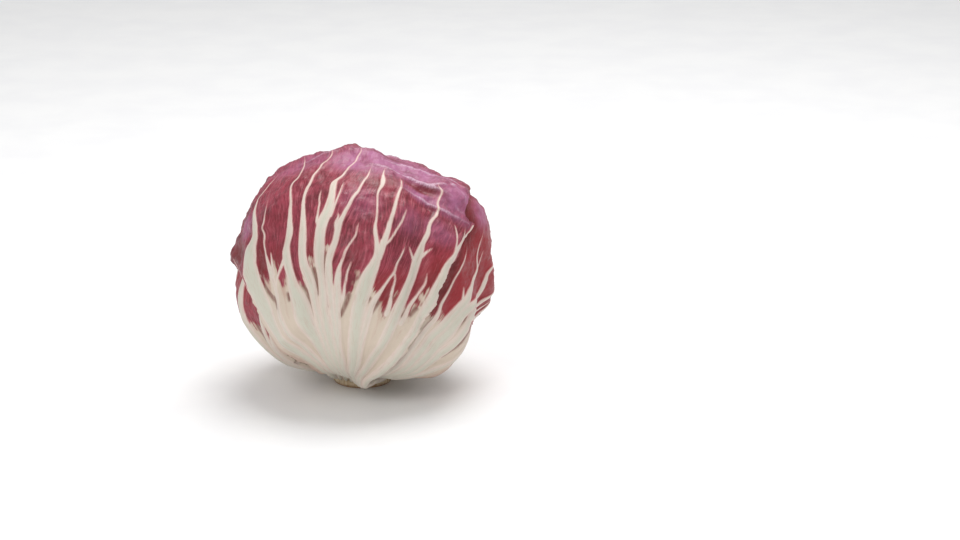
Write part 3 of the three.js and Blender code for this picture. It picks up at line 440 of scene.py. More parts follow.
def fan_leaf(leaf):
    leaf_map = LeafMap(leaf["azimuth"], FAN_ELEVATION)
    rng = np.random.default_rng(leaf["seed"])
    lines = []
    for share in np.linspace(-1, 1, FAN_RIBS + 2):
        base = base_point(leaf_map, leaf["azimuth"], share * FAN_BASE_TURN)
        bearing = math.radians(share * FAN_SWEEP)
        ripple = 1 + sum(size * math.sin(n * bearing + p * leaf["wave"]) for size, n, p in FAN_RIPPLES)
        end_x = leaf["half_width"] * ripple * math.sin(bearing) + leaf["lean"] * math.cos(bearing / 2)
        end_y = FAN_MIDDLE + (leaf["top"] - FAN_MIDDLE) * ripple * math.cos(bearing)
        width = FAN_RIB_WIDTH * (1 - FAN_SIDE_THINNING * abs(share))
        out, up = FAN_HEEL
        heel = (lerp(base[0], FAN_STATIONS[0][0] * end_x, out), lerp(base[1], FAN_SHOULDER, up), width)
        stations = [(r * end_x, lerp(FAN_SHOULDER, end_y, rise), w * width) for r, rise, w in FAN_STATIONS]
        lines.append([(*base, width), heel, *stations, (end_x, end_y, FAN_TIP_WIDTH)])
    veins = [np.array(line, float) for line in lines[1:-1]]
    starts = [(x, rng.uniform(*FAN_BLADE_STARTS)) for x in FAN_BLADE_PLACES]
    spots = {kind: fan_spots(rng, *spread) for kind, spread in FAN_SPOTS.items()}
    grooves = [
        [(*(a[:2] + b[:2]) / 2, FAN_GROOVE_WIDTH) for a, b in zip(left[1:3], right[1:3])]
        for left, right in zip(veins, veins[1:])
    ]
    creases = []
    for _ in range(FAN_CREASES):
        x, y, slope = (rng.uniform(*span) for span in FAN_CREASE_PLACE)
        path = [(x + dx, y + slope * dx - FAN_CREASE_BEND * dx * dx, width) for dx, width in FAN_FOLD]
        creases.append((rng.choice(FAN_CREASE_HEIGHTS), path))
    return leaf | spots | {
        "map": leaf_map, "lines": lines, "veins": veins + fan_forks(veins, rng), "blade_starts": starts,
        "grooves": grooves, "creases": creases, "lifts": [], "rim": FAN_LIFT,
    }


def fan_spots(rng, count, xs, ys, tilts, half_width, half_height, strength):
    spots = []
    for _ in range(count):
        x, y = rng.uniform(*xs), rng.uniform(*ys)
        tilt = rng.uniform(*tilts) if tilts else 0
        spots.append((x, y, half_width, half_height, tilt, strength))
    return spots


FORK_POINTS = 60  # steps into which a rib is cut to place its arms
FORK_STARTS = (30, 46)
FORK_LENGTHS = (9, 15)


def fan_forks(ribs, rng):
    """Arms that leave the ribs of a fan, two on each side of a rib, high on the leaf."""
    forks = []
    for rib in ribs:
        line = spaced(rib, np.linspace(0, 1, FORK_POINTS + 1))
        for side in (-1, 1, -1, 1):
            start = int(rng.uniform(*FORK_STARTS))
            length = int(rng.uniform(*FORK_LENGTHS))
            slant = side * rng.uniform(0.25, 0.42)
            forks.append(branch(line[start:start + length], slant, rng.uniform(0.35, 0.6)))
    return forks


THINNEST_ARM = 0.8  # degrees where it leaves its rib
ARM_TIP = 0.25


def branch(stretch, slant, thickness):
    """A vein that follows a stretch of a rib and leaves it sideways, thinning to nothing."""
    spots = stretch[:, :2]
    along = np.diff(spots, axis=0, append=spots[-1:] + spots[-1:] - spots[-2:-1])
    normal = np.stack([along[:, 1], -along[:, 0]], -1)
    normal /= np.maximum(np.linalg.norm(along, axis=1), 1e-9)[:, None]
    run = np.linspace(0, 1, len(stretch))
    reach = np.linalg.norm(spots[-1] - spots[0])
    path = spots + normal * (slant * reach * run**0.85)[:, None]
    width = np.maximum(stretch[0, 2] * thickness, THINNEST_ARM) * (1 - run) ** 0.8 + ARM_TIP
    return np.column_stack([path, width])


# From the innermost leaf to the outermost.
LEAVES = [*map(fan_leaf, FANS), drawn_leaf(FRONT_RIGHT_LEAF), drawn_leaf(FRONT_LEAF)]
SIDE_POINTS, TOP_POINTS = 16, 24

for leaf in LEAVES:
    evenly = np.linspace(0, 1, SIDE_POINTS + 1)
    left, right = spaced(leaf["lines"][0], evenly), spaced(leaf["lines"][-1], evenly)
    top = spaced([line[-1] for line in leaf["lines"]], np.linspace(0, 1, TOP_POINTS + 1))
    pole = leaf["map"].to_map(np.array([[0.0, 0.0, -1.0]]))
    leaf["outline"] = np.concatenate([left[:, :2], top[1:-1, :2], right[::-1, :2], pole])


# ---- how the leaves are stacked
def rib_share(ways):
    """Ribs are fattest near the base: 1 there, 0 at the top of the head."""
    rise = (np.degrees(np.arcsin(clamp(ways[:, 2], -1))) + 90 - BASE_ANGLE) / RIB_RISE
    return (1 - clamp(rise)) ** RIB_SINK


def rib_height(ways):
    return lerp(RIB_TIP, RIB_BASE, rib_share(ways))


def cover(leaf, ways):
    """How much a leaf carries what lies over it: 1 on the leaf, 0 well outside it."""
    points = leaf["map"].to_map(ways)
    angle = np.radians(np.linalg.norm(points, axis=1))
    stretch = np.where(angle > 1e-6, angle / np.maximum(np.sin(angle), 1e-6), 1)
    away = outline_distance(leaf["outline"], points) / stretch
    return 1 - smoothstep(away, COVER_HOLD, COVER_HOLD + COVER_FADE)


def layer(leaf, ways):
    return GAP + BLADE + leaf["stoutness"] * rib_height(ways)


GLOBE_STEP = 2  # degrees between the lines of the grid on which the heart's radius is worked out
GLOBE_AZIMUTHS = np.arange(0, 360 + GLOBE_STEP, GLOBE_STEP)
GLOBE_ELEVATIONS = np.arange(-90, 90 + GLOBE_STEP, GLOBE_STEP)


def from_globe(values, ways):
    """Reads a grid of values, elevation by azimuth, in these directions."""
    azimuth = np.degrees(np.arctan2(ways[:, 1], ways[:, 0])) % 360 / GLOBE_STEP
    elevation = (np.degrees(np.arcsin(clamp(ways[:, 2], -1))) + 90) / GLOBE_STEP
    i = np.minimum(elevation.astype(int), len(GLOBE_ELEVATIONS) - 2)
    j = np.minimum(azimuth.astype(int), len(GLOBE_AZIMUTHS) - 2)
    u, v = elevation - i, azimuth - j
    low = lerp(values[i, j], values[i, j + 1], v)
    high = lerp(values[i + 1, j], values[i + 1, j + 1], v)
    return lerp(low, high, u)


def head_radius(ways):
    radius = np.full(len(ways), HEAD_RADIUS)
    for azimuth, elevation, height, spread in SWELLS:
        away = np.degrees(np.arccos(clamp(ways @ direction(azimuth, elevation), -1)))
        radius += height * np.exp(-0.5 * (away / spread) ** 2)
    return radius


def heart_globe():
    """The heart's radius: the head's, less the mean height of the leaves, which stay off the ground."""
    elevation, azimuth = np.meshgrid(GLOBE_ELEVATIONS, GLOBE_AZIMUTHS, indexing="ij")
    ways = direction(azimuth.ravel(), elevation.ravel())
    own_stack = sum(layer(leaf, ways) * cover(leaf, ways) for leaf in LEAVES)
    stacks = own_stack.reshape(elevation.shape)
    aside = np.cross([0.0, 0.0, 1.0], ways)
    aside[np.linalg.norm(aside, axis=1) < 1e-3] = (1, 0, 0)
    aside /= np.linalg.norm(aside, axis=1)[:, None]
    across = np.cross(ways, aside)
    stack = own_stack.copy()
    for turn in np.arange(PATCH_POINTS) * 2 * math.pi / PATCH_POINTS:
        near = ways + math.tan(math.radians(PATCH_ANGLE)) * (math.cos(turn) * aside + math.sin(turn) * across)
        stack += from_globe(stacks, near / np.linalg.norm(near, axis=1)[:, None])
    filling = head_radius(ways) - stack / (PATCH_POINTS + 1)
    low = ways[:, 2] <= UNDERSIDE
    room = (HEAD_FLOOR - HEAD_CENTRE[2]) / np.where(low, ways[:, 2], -1) - own_stack
    blend = clamp(0.5 + (room - filling) / (2 * FLOOR_ROUNDING))
    lower = lerp(room, filling, blend) - FLOOR_ROUNDING * blend * (1 - blend)
    return np.where(low, lower, filling).reshape(elevation.shape)


HEART_GLOBE = heart_globe()


def seat_and_freedom(level, ways):
    """The radius on which a leaf lies, and 1 where no other leaf lies over it."""
    seat = from_globe(HEART_GLOBE, ways) + GAP
    free = np.ones(len(ways))
    for i, leaf in enumerate(LEAVES):
        if i < level:
            seat += layer(leaf, ways) * cover(leaf, ways)
        elif i > level:
            free *= 1 - cover(leaf, ways)
    return seat, free


# ---- veins
TAPER = 0.5  # degrees that the thin end of a vein loses from its pale band
SLIMMING = 0.2  # the pale band is narrower to each side than the ridge by this share of its width
MOST_SLIMMING = 0.25
FAR = 4.0  # degrees from a vein beyond which its distance isn't followed
RUN = 6  # segments of a vein that are looked up together
THREAD_WIDTHS = (0.1, 0.7)  # between these widths a vein gains its full pale band
RIDGE_WIDTHS = (0.12, 0.5)  # and between these its ridge
RIDGE_POWER = 1.3  # above 1, the foot of a ridge runs out softly


def vein_fields(points, veins, steps=4):
    """For each point: degrees inside the pale band of the nearest vein, and the veins' height as a share."""
    inside = np.full(len(points), -FAR)
    relief = np.zeros(len(points))
    for vein in veins:
        line = through(np.array(vein, float), steps)
        for first in range(0, len(line) - 1, RUN):
            run = line[first:first + RUN + 1]
            reach = run[:, 2].max() / 2 + FAR
            low, high = run[:, :2].min(0) - reach, run[:, :2].max(0) + reach
            near = np.flatnonzero(((points > low) & (points < high)).all(1))
            here = points[near]
            for a, b in zip(run[:-1], run[1:]):
                away, t = segment_distance(here, a[:2], b[:2])
                width = lerp(a[2], b[2], t)
                slimming = np.minimum(SLIMMING * width, MOST_SLIMMING)
                pale = width / 2 - slimming - TAPER * (1 - smoothstep(width, *THREAD_WIDTHS))
                inside[near] = np.maximum(inside[near], pale - away)
                size = clamp(RIB_THIN_SHARE + width / RIB_FULL_WIDTH) * smoothstep(width, *RIDGE_WIDTHS)
                ridge = size * clamp(1 - (away / (width / 2 + RIB_SIDE)) ** 2) ** RIDGE_POWER
                relief[near] = np.maximum(relief[near], ridge)
    return inside, relief


SIDE_VEIN_STEP = 1.2  # degrees between the points of a rib by which side veins are placed
SIDE_VEIN_GAPS = 0.4  # share of the side veins that are left out
SIDE_VEIN_LENGTHS = (4, 9)  # in such points
SIDE_VEIN_TIP = 0.12


def side_veins(leaf):
    """Fine veins that leave both sides of every rib at a slant."""
    rng = np.random.default_rng(leaf["seed"] + 500)
    found = []
    for rib in leaf["veins"]:
        count = max(8, int(np.linalg.norm(np.diff(rib[:, :2], axis=0), axis=1).sum() / SIDE_VEIN_STEP))
        line = spaced(rib, np.linspace(0, 1, count))
        for start in np.arange(count // 3, count - 6, 4):  # not near the base, where ribs are broad
            for side in (-1, 1):
                if rng.random() < SIDE_VEIN_GAPS:
                    continue
                stretch = line[start:start + int(rng.uniform(*SIDE_VEIN_LENGTHS))]
                if len(stretch) < SIDE_VEIN_LENGTHS[0]:
                    continue
                vein = branch(stretch, side * rng.uniform(0.35, 0.9), 0)
                vein[:, 2] = np.linspace(rng.uniform(0.3, 0.7), SIDE_VEIN_TIP, len(vein))
                found.append(vein)
    return found


# ---- leaf meshes
INNER_EVERY = 4  # the hidden inner face of a leaf has one line of points for so many of the outer face
RIM_THICKNESS = 0.35 * MM
RIM_WIDTH = 4  # degrees over which a leaf thins to its rim
MARGIN_WAVE = (0.6, 0.4, 0.23, 0.31)  # mean, swing, and radians to a degree of x and of y
MARGIN_RUFFLE = (11, 0.7)  # wave length in degrees, share of the margin's lift
MARGIN_NOISE = [(9, 0.55), (3.5, 0.3), (1.4, 0.14)]  # wave length, degrees in and out
RAGGED_SIDES = (0.9, 1)  # the margin is ragged from so far out to each side, as a share of the leaf
RAGGED_ABOVE = (0.1, 0.3)  # and from so far up
RAGGED_TOP = (0.93, 1)
PUCKERS = [(9, 0.15 * MM), (4.2, 0.1 * MM), (2.1, 0.045 * MM)]  # wave length in degrees, height
PUCKERS_FROM_RIB = (-0.3, 2.5)  # puckers grow between these distances from a rib
PUCKERS_FROM_MARGIN = 3
PUCKERS_LOST = 0.7  # in the pale base
FOLDS_FROM_MARGIN = 5
SIDE_VEIN_HEIGHT = 0.12 * MM
BASE_NOISE = (6, 1.1)  # wave length and height of the waves in the pale base's upper edge
BASE_FADE = 4
BASE_REACH = 9  # degrees from that edge within which the distance is followed
GROOVE_DEPTH = 0.6 * MM
GROOVE_FULL = 0.45  # the share of a furrow's depth from which it is fully darkened with painted shade
CREST_START, CREST_FULL = 0.2 * MM, 0.42 * MM  # heights of a fold between which its crest gains a painted highlight
GRAIN_WIDTH, GRAIN_HEIGHT = 130, 150  # a leaf's size in the coordinates that its fibres follow
COLOUR_FIELDS = ("rib", "vein", "below", "groove_and_shade", "crest_highlight", "bloom_and_sheen", "shade", "ruddy")


def grid_points(leaf, rows, steps):
    """The map points of a grid that follows the leaf's lines, rows by columns."""
    shares = np.linspace(0, 1, rows) ** ROW_BIAS
    lines = np.array([spaced(line, shares)[:, :2] for line in leaf["lines"]])
    return through(lines, steps).transpose(1, 0, 2)


def surface(leaf, level, points):
    """Directions of map points, the leaf's inner radius there, and their distance from its margin."""
    ways = leaf["map"].to_direction(points)
    seat, free = seat_and_freedom(level, ways)
    margin = outline_distance(leaf["outline"], points)
    mean, swing, across, up = MARGIN_WAVE
    ripple = mean + swing * np.sin(across * points[:, 0] + up * points[:, 1] + leaf["wave"])
    length, size = MARGIN_RUFFLE
    ripple += size * waves(points, length, leaf["seed"] + 70)
    lift = leaf["rim"] * smoothstep(margin, -MARGIN_BAND, 0) * ripple * (1 - rib_share(ways))
    for x, y, height, spread in leaf["lifts"]:
        lift += height * np.exp(-0.5 * (np.hypot(points[:, 0] - x, points[:, 1] - y) / spread) ** 2)
    return ways, seat + free * lift, margin


def ragged(leaf, points, rows, columns):
    """Moves the outer grid lines in and out, so that the free margins aren't smooth."""
    row = np.repeat(np.linspace(0, 1, rows), columns)
    column = np.tile(np.linspace(-1, 1, columns), rows)
    near_side = smoothstep(np.abs(column), *RAGGED_SIDES) * smoothstep(row, *RAGGED_ABOVE)
    near_top = smoothstep(row, *RAGGED_TOP)
    moved = points.copy()
    for i, (length, size) in enumerate(MARGIN_NOISE):
        noise = waves(points, length, leaf["seed"] + i) * size
        moved[:, 0] += noise * near_side
        moved[:, 1] += noise * near_top
    return moved


def leaf_mesh(leaf, level):
    rows, columns = leaf["rows"] + 1, (len(leaf["lines"]) - 1) * leaf["steps"] + 1
    outer = ragged(leaf, grid_points(leaf, rows, leaf["steps"]).reshape(-1, 2), rows, columns)
    picked = np.arange(rows * columns).reshape(rows, columns)[::INNER_EVERY, ::INNER_EVERY].ravel()

    ways, under, margin = surface(leaf, level, outer)
    rib, relief = vein_fields(outer, leaf["veins"])
    vein, vein_relief = vein_fields(outer, side_veins(leaf), 2)
    length, size = BASE_NOISE
    edge = np.interp(outer[:, 0], *np.array(leaf["blade_starts"]).T)
    edge += size * waves(outer, length, leaf["seed"] + 90)
    below = clamp(edge - outer[:, 1], -BASE_REACH, BASE_REACH)
    base = smoothstep(below, -BASE_FADE, BASE_FADE)
    groove_and_shade = vein_fields(outer, leaf["grooves"])[1]
    thickness = lerp(RIM_THICKNESS, BLADE, smoothstep(-margin, 0, RIM_WIDTH))
    blade = smoothstep(-rib, *PUCKERS_FROM_RIB) * (1 - PUCKERS_LOST * base)
    blade *= smoothstep(-margin, 0, PUCKERS_FROM_MARGIN)
    seed = leaf["seed"] + 40
    pucker = sum(size * waves(outer, length, seed + i) for i, (length, size) in enumerate(PUCKERS))
    raised = relief * leaf["stoutness"] * rib_height(ways) + SIDE_VEIN_HEIGHT * vein_relief * blade
    folds = np.zeros(len(outer))
    for height, path in leaf["creases"]:
        folds += height * MM * vein_fields(outer, [path])[1]
    outside = under + thickness + raised + pucker * blade + folds * smoothstep(-margin, 0, FOLDS_FROM_MARGIN)
    outside -= GROOVE_DEPTH * groove_and_shade
    inside = under[picked] + np.minimum(0, folds[picked])

    fields = {
        "rib": rib,
        "vein": vein,
        "below": below,
        "groove_and_shade": clamp(groove_and_shade / GROOVE_FULL),
        "crest_highlight": smoothstep(folds, CREST_START, CREST_FULL),
        **{kind: patches(outer, leaf[kind]) for kind in ("bloom_and_sheen", "shade", "ruddy")},
    }
    skin = HEAD_CENTRE + ways * outside[:, None]
    lining = HEAD_CENTRE + ways[picked] * inside[:, None]
    faces = shell_faces(rows, columns, len(skin))
    fields = {name: np.concatenate([value, value[picked]]) for name, value in fields.items()}
    across, up = np.meshgrid(np.linspace(0, GRAIN_WIDTH, columns), np.linspace(0, GRAIN_HEIGHT, rows))
    grain = np.column_stack([across.ravel(), up.ravel()])
    place = np.concatenate([grain, grain[picked]])
    return mesh_object(leaf["name"] + "_dressed", np.concatenate([skin, lining]), faces, fields, place)


def shell_faces(rows, columns, skin):
    """Faces of a closed leaf: a fine outer grid, a coarse inner one, and the rim that joins them."""
    fine = np.arange(skin).reshape(rows, columns)
    coarse_rows, coarse_columns = (rows - 1) // INNER_EVERY + 1, (columns - 1) // INNER_EVERY + 1
    coarse = skin + np.arange(coarse_rows * coarse_columns).reshape(coarse_rows, coarse_columns)

    def quads(grid):
        return np.stack([grid[:-1, :-1], grid[:-1, 1:], grid[1:, 1:], grid[1:, :-1]], -1).reshape(-1, 4)

    def loop(grid):
        return np.concatenate([grid[0, :-1], grid[:-1, -1], grid[-1, :0:-1], grid[:0:-1, 0]])

    faces = [*quads(fine).tolist(), *quads(coarse)[:, ::-1].tolist()]
    fine_loop, coarse_loop = loop(fine), loop(coarse)
    for i, a in enumerate(coarse_loop):
        b = coarse_loop[(i + 1) % len(coarse_loop)]
        stretch = [fine_loop[(i * INNER_EVERY + j) % len(fine_loop)] for j in range(INNER_EVERY + 1)]
        half = INNER_EVERY // 2
        for j in range(INNER_EVERY):
            faces.append([int(a if j < half else b), int(stretch[j + 1]), int(stretch[j])])
        faces.append([int(a), int(b), int(stretch[half])])
    return faces


def add_object(name, data):
    made = bpy.data.objects.new(name, data)
    bpy.context.scene.collection.objects.link(made)
    return made


def mesh_object(name, points, faces, fields, place):
    mesh = bpy.data.meshes.new(name)
    mesh.from_pydata(points.tolist(), [], faces)
    mesh.shade_smooth()
    for field, value in fields.items():
        mesh.attributes.new(field, "FLOAT", "POINT").data.foreach_set("value", value.astype(np.float32))
    spot = np.column_stack([place, np.zeros(len(place))]).astype(np.float32)
    mesh.attributes.new("place", "FLOAT_VECTOR", "POINT").data.foreach_set("vector", spot.ravel())
    return add_object(name, mesh)


# ---- materials
def srgb(red, green, blue):
    """A colour picked on the 0 to 255 scale, as the linear colour that shaders take."""
    shares = np.array([red, green, blue]) / 255
    linear = np.where(shares <= 0.04045, shares / 12.92, ((shares + 0.055) / 1.055) ** 2.4)
    return (*linear.tolist(), 1.0)


class Shader:
    """Builds one node material with short calls."""

    def __init__(self, name):
        self.material = bpy.data.materials.new(name)
        self.material.use_nodes = True
        self.tree = self.material.node_tree
        self.surface = self.tree.nodes["Principled BSDF"]
        self.body = self.node("ShaderNodeTexCoord").outputs["Object"]

    def node(self, kind, inputs=None, **settings):
        made = self.tree.nodes.new(kind)
        for key, value in settings.items():
            setattr(made, key, value)
        for key, value in (inputs or {}).items():
            self.put(made.inputs[key], value)
        return made

    def put(self, socket, value):
        if isinstance(value, bpy.types.NodeSocket):
            self.tree.links.new(value, socket)
        else:
            socket.default_value = value

    def math(self, operation, a, b, c=0.0, limit=False):
        made = self.node("ShaderNodeMath", {0: a, 1: b, 2: c}, operation=operation, use_clamp=limit)
        return made.outputs[0]

    def times(self, a, b, plus=0.0):
        """a times b, plus something."""
        return self.math("MULTIPLY_ADD", a, b, plus)

    def step(self, value, low, high, to_low=0.0, to_high=1.0):
        """A smooth step of value from low to high."""
        made = self.node("ShaderNodeMapRange", {0: value, 1: low, 2: high, 3: to_low, 4: to_high},
                         interpolation_type="SMOOTHSTEP")
        return made.outputs[0]

    def mix(self, share, a, b):
        made = self.node("ShaderNodeMix", {0: share}, data_type="RGBA")
        self.put(made.inputs[6], a)
        self.put(made.inputs[7], b)
        return made.outputs[2]

    def layers(self, colour, *coats):
        """A colour with others over it, each laid on by its share."""
        for share, coat in coats:
            colour = self.mix(share, colour, coat)
        return colour

    def field(self, name, output="Fac"):
        return self.node("ShaderNodeAttribute", attribute_name=name).outputs[output]

    def noise(self, vector, scale, detail, roughness):
        made = self.node("ShaderNodeTexNoise", {"Vector": vector, "Scale": scale, "Detail": detail,
                                                "Roughness": roughness})
        return made.outputs[0]

    def stretched(self, vector, scale):
        return self.node("ShaderNodeMapping", {"Vector": vector, "Scale": scale}).outputs[0]

    def bump(self, height, strength, distance):
        made = self.node("ShaderNodeBump", {"Height": height, "Strength": strength, "Distance": distance})
        return made.outputs[0]

    def finish(self, inputs):
        """Links or sets the inputs of the surface."""
        for name, value in inputs.items():
            self.put(self.surface.inputs[name], value)
        return self.material


RIB_CREAM = srgb(226, 208, 197)
RIB_CORE = srgb(208, 206, 190)
RIB_PINK = srgb(220, 168, 162)
BLADE_MID = srgb(156, 54, 72)
BLADE_DARK = srgb(106, 26, 38)
BLADE_LIGHT = srgb(186, 98, 110)
BLADE_RED = srgb(156, 32, 36)
# Lilac of the waxy bloom, with painted sheen where light glances off the blade.
BLOOM_AND_SHEEN_LILAC = srgb(176, 106, 146)
# Painted highlight along the crests of folds.
CREST_HIGHLIGHT_LILAC = srgb(212, 178, 198)
BASE_TAN = srgb(198, 168, 150)
BASE_CREAM = srgb(214, 198, 180)
# Painted shade in the furrows of the pale base.
GROOVE_SHADE_BROWN = srgb(134, 92, 80)
SHADOW_RED = srgb(112, 8, 12)
SHEEN_LILAC = srgb(214, 180, 224)
STEM_TAN = srgb(190, 164, 128)
STEM_PALE = srgb(222, 206, 176)
STEM_BROWN = srgb(146, 104, 70)
CUT_BROWN = srgb(138, 98, 66)


def leaf_material(name, ruddy=0.0):
    """Cream ribs with feathered pink edges on a mottled dark red blade, with painted sheen, painted
    highlights on fold crests, and painted shade in furrows and dark patches.
    """
    s = Shader(name)
    place = s.field("place", "Vector")
    along = s.stretched(place, (1.0, 0.14, 1.0))
    fine = s.noise(s.body, 1400, 4, 0.6)
    mottle = s.noise(s.body, 160, 5, 0.6)
    clouds = s.noise(s.body, 45, 3, 0.5)
    streaks = s.noise(along, 1.9, 4, 0.65)
    fingers = s.noise(along, 0.8, 3, 0.55)
    threads = s.noise(s.stretched(place, (1.0, 0.09, 1.0)), 1.3, 4, 0.6)

    rib, below = s.field("rib"), s.field("below")
    feather = s.math("SUBTRACT", s.times(streaks, 0.7, s.times(fine, 0.2, rib)), 0.45)
    rib_mask = s.step(feather, -0.2, 0.3)
    pink_mask = s.step(feather, -0.6, 0.05)
    base = s.step(s.times(fingers, 18.0, below), 6.5, 11.0)
    creamy = s.times(streaks, 4.0, s.times(below, 0.25, rib))
    pale = s.layers(
        BASE_TAN,
        (s.step(creamy, -0.6, 2.4), BASE_CREAM),
        # painted shade in the furrows between the ribs
        (s.times(s.field("groove_and_shade"), s.step(streaks, 0.3, 0.6, 0.6, 1.0)), GROOVE_SHADE_BROWN),
    )
    tone = s.times(streaks, 0.45, s.times(mottle, 0.3, s.times(clouds, 0.25)))
    blade = s.layers(
        BLADE_DARK,
        (s.step(tone, 0.4, 0.57), BLADE_MID),
        (s.step(threads, 0.52, 0.68, 0.0, 0.66), BLADE_LIGHT),
        (s.step(threads, 0.34, 0.48, 0.75, 0.0), BLADE_DARK),
        (s.times(s.math("ADD", s.field("ruddy"), ruddy, limit=True), 0.75), BLADE_RED),
        # lilac bloom, partly painted sheen
        (s.times(s.field("bloom_and_sheen"), s.step(mottle, 0.3, 0.62, 0.45, 0.95)), BLOOM_AND_SHEEN_LILAC),
        # painted highlight along fold crests
        (s.times(s.field("crest_highlight"), s.step(streaks, 0.35, 0.6, 0.3, 0.8)), CREST_HIGHLIGHT_LILAC),
        (s.times(s.field("shade"), s.step(clouds, 0.3, 0.6, 0.6, 1.0)), SHADOW_RED),
        (s.step(s.times(fine, 0.2, s.field("vein")), 0.05, 0.3, 0.0, 0.45), RIB_PINK),
        (base, pale),
        (s.times(pink_mask, s.times(base, -0.7, 0.7)), RIB_PINK),
    )
    cream = s.layers(
        RIB_CREAM,
        (s.step(s.times(streaks, 2.4, rib), 1.0, 4.0), RIB_CORE),
        (s.step(threads, 0.5, 0.74, 0.0, 0.5), BASE_TAN),
        (s.step(streaks, 0.3, 0.5, 0.35, 0.0), BASE_TAN),
    )
    cells = s.node("ShaderNodeTexVoronoi", {"Vector": s.stretched(s.body, (1, 1, 0.7)), "Scale": 520.0},
                   feature="DISTANCE_TO_EDGE").outputs["Distance"]
    network = s.times(s.step(cells, 0.0, 0.22), s.math("SUBTRACT", 1.0, rib_mask))
    height = s.times(network, 0.5, s.times(streaks, 0.8, s.times(fine, 0.35)))
    return s.finish({
        "Base Color": s.mix(rib_mask, blade, cream),
        "Roughness": s.times(rib_mask, 0.08, s.step(mottle, 0.3, 0.7, 0.42, 0.56)),
        "Normal": s.bump(height, 0.35, 0.2 * MM),
        "Specular IOR Level": 0.5,
        "Coat Weight": 0.08,
        "Coat Roughness": 0.3,
        "Sheen Weight": 0.04,
        "Sheen Roughness": 0.45,
        "Sheen Tint": SHEEN_LILAC,
    })


def stem_material():
    """Tan, drying flesh with long fibres and a browned cut face."""
    s = Shader("radicchio_stem")
    fibres = s.noise(s.stretched(s.body, (1, 1, 0.12)), 900, 4, 0.6)
    blotches = s.noise(s.body, 220, 4, 0.6)
    height = s.node("ShaderNodeSeparateXYZ", {0: s.body}).outputs[2]
    colour = s.layers(
        STEM_TAN,
        (s.step(fibres, 0.35, 0.7), STEM_PALE),
        (s.step(blotches, 0.5, 0.72, 0.0, 0.7), STEM_BROWN),
        (s.step(s.times(blotches, 2 * MM, height), 0.9 * MM, 2.8 * MM, 0.85, 0.0), CUT_BROWN),
    )
    return s.finish({
        "Base Color": colour,
        "Roughness": s.step(blotches, 0.3, 0.7, 0.6, 0.85),
        "Normal": s.bump(s.math("ADD", fibres, blotches), 0.6, 0.4 * MM),
    })


def dress(piece, node, material):
    piece.data.materials.append(material)
    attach(piece, "root")
    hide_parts(node)


MATERIALS = {
    "front_leaf": leaf_material("radicchio_front_leaf"),
    "outer_leaf": leaf_material("radicchio_outer_leaf", ruddy=0.25),
    "inner_leaf": leaf_material("radicchio_inner_leaf", ruddy=0.3),
}

for level, leaf in enumerate(LEAVES):
    dress(leaf_mesh(leaf, level), leaf["name"], MATERIALS[leaf["slot"]])

# ---- heart and stem
STEM_PROFILE = np.array([
    (12.3, 0), (13.0, 1.2), (12.8, 3), (11.8, 7.5), (9.9, 14.5), (8.5, 19), (7.3, 23), (6.4, 26.5),
]) * MM
SOCKET_MOUTH = 23 * MM
SOCKET_GAP = 0.5 * MM
HEART_SWIRL = 1.3 * MM  # height of the leaf edges
HEART_EDGES = 3
HEART_TURN = 2.2  # degrees that an edge winds round the crown for a degree down from it
HEART_EDGE_SHARE = 0.12  # share of the way to the next edge that the step takes
HEART_SWIRL_FADE = (30, 70)  # degrees from the crown
HEART_FIRST_RING = 180 - BASE_ANGLE - 1
HEART_LAST_RING = 6
HEART_RINGS = 150
HEART_SIDES = 160
# The heart's wrapped leaves are painted like fans: width, top and rib spacing on their own map.
HEART_LEAF_WIDTH = 60
HEART_LEAF_TOP = 70
HEART_RIB_SPACING = 20
HEART_RIB_HEIGHTS, HEART_RIB_WIDTHS = [-60, 0, 60], [5, 1, 0.2]
HEART_BLADE_START = -15
STEM_AXIS = np.array([HEAD_CENTRE[0], HEAD_CENTRE[1], 0])
STEM_SIDES = 120
STEM_STEPS = 8
STEM_FLUTES = [(0.25 * MM, 9, 1.3), (0.2 * MM, 17, 0)]  # height, count, phase
FLUTE_START = (0.5 * MM, 4 * MM)  # the flutes grow between these heights
CUT_RINGS = np.linspace(0.08, 0.97, 12)  # shares of the cut face's radius


def rings_object(name, rings, bottom, top, fields, place):
    """A closed solid from rings of points that closes on a middle point at each end."""
    count, sides = rings.shape[:2]
    points = np.concatenate([rings.reshape(-1, 3), [bottom, top]])
    low, high = count * sides, count * sides + 1
    faces = []
    for side in range(sides):
        after = (side + 1) % sides
        faces.append([low, after, side])
        faces.append([high, (count - 1) * sides + side, (count - 1) * sides + after])
        for ring in range(count - 1):
            a, b = ring * sides, (ring + 1) * sides
            faces.append([a + side, a + after, b + after, b + side])
    ends = np.zeros((2, place.shape[-1]))
    fields = {name: np.concatenate([value, [value[0], value[-1]]]) for name, value in fields.items()}
    return mesh_object(name, points, faces, fields, np.concatenate([place, ends]))


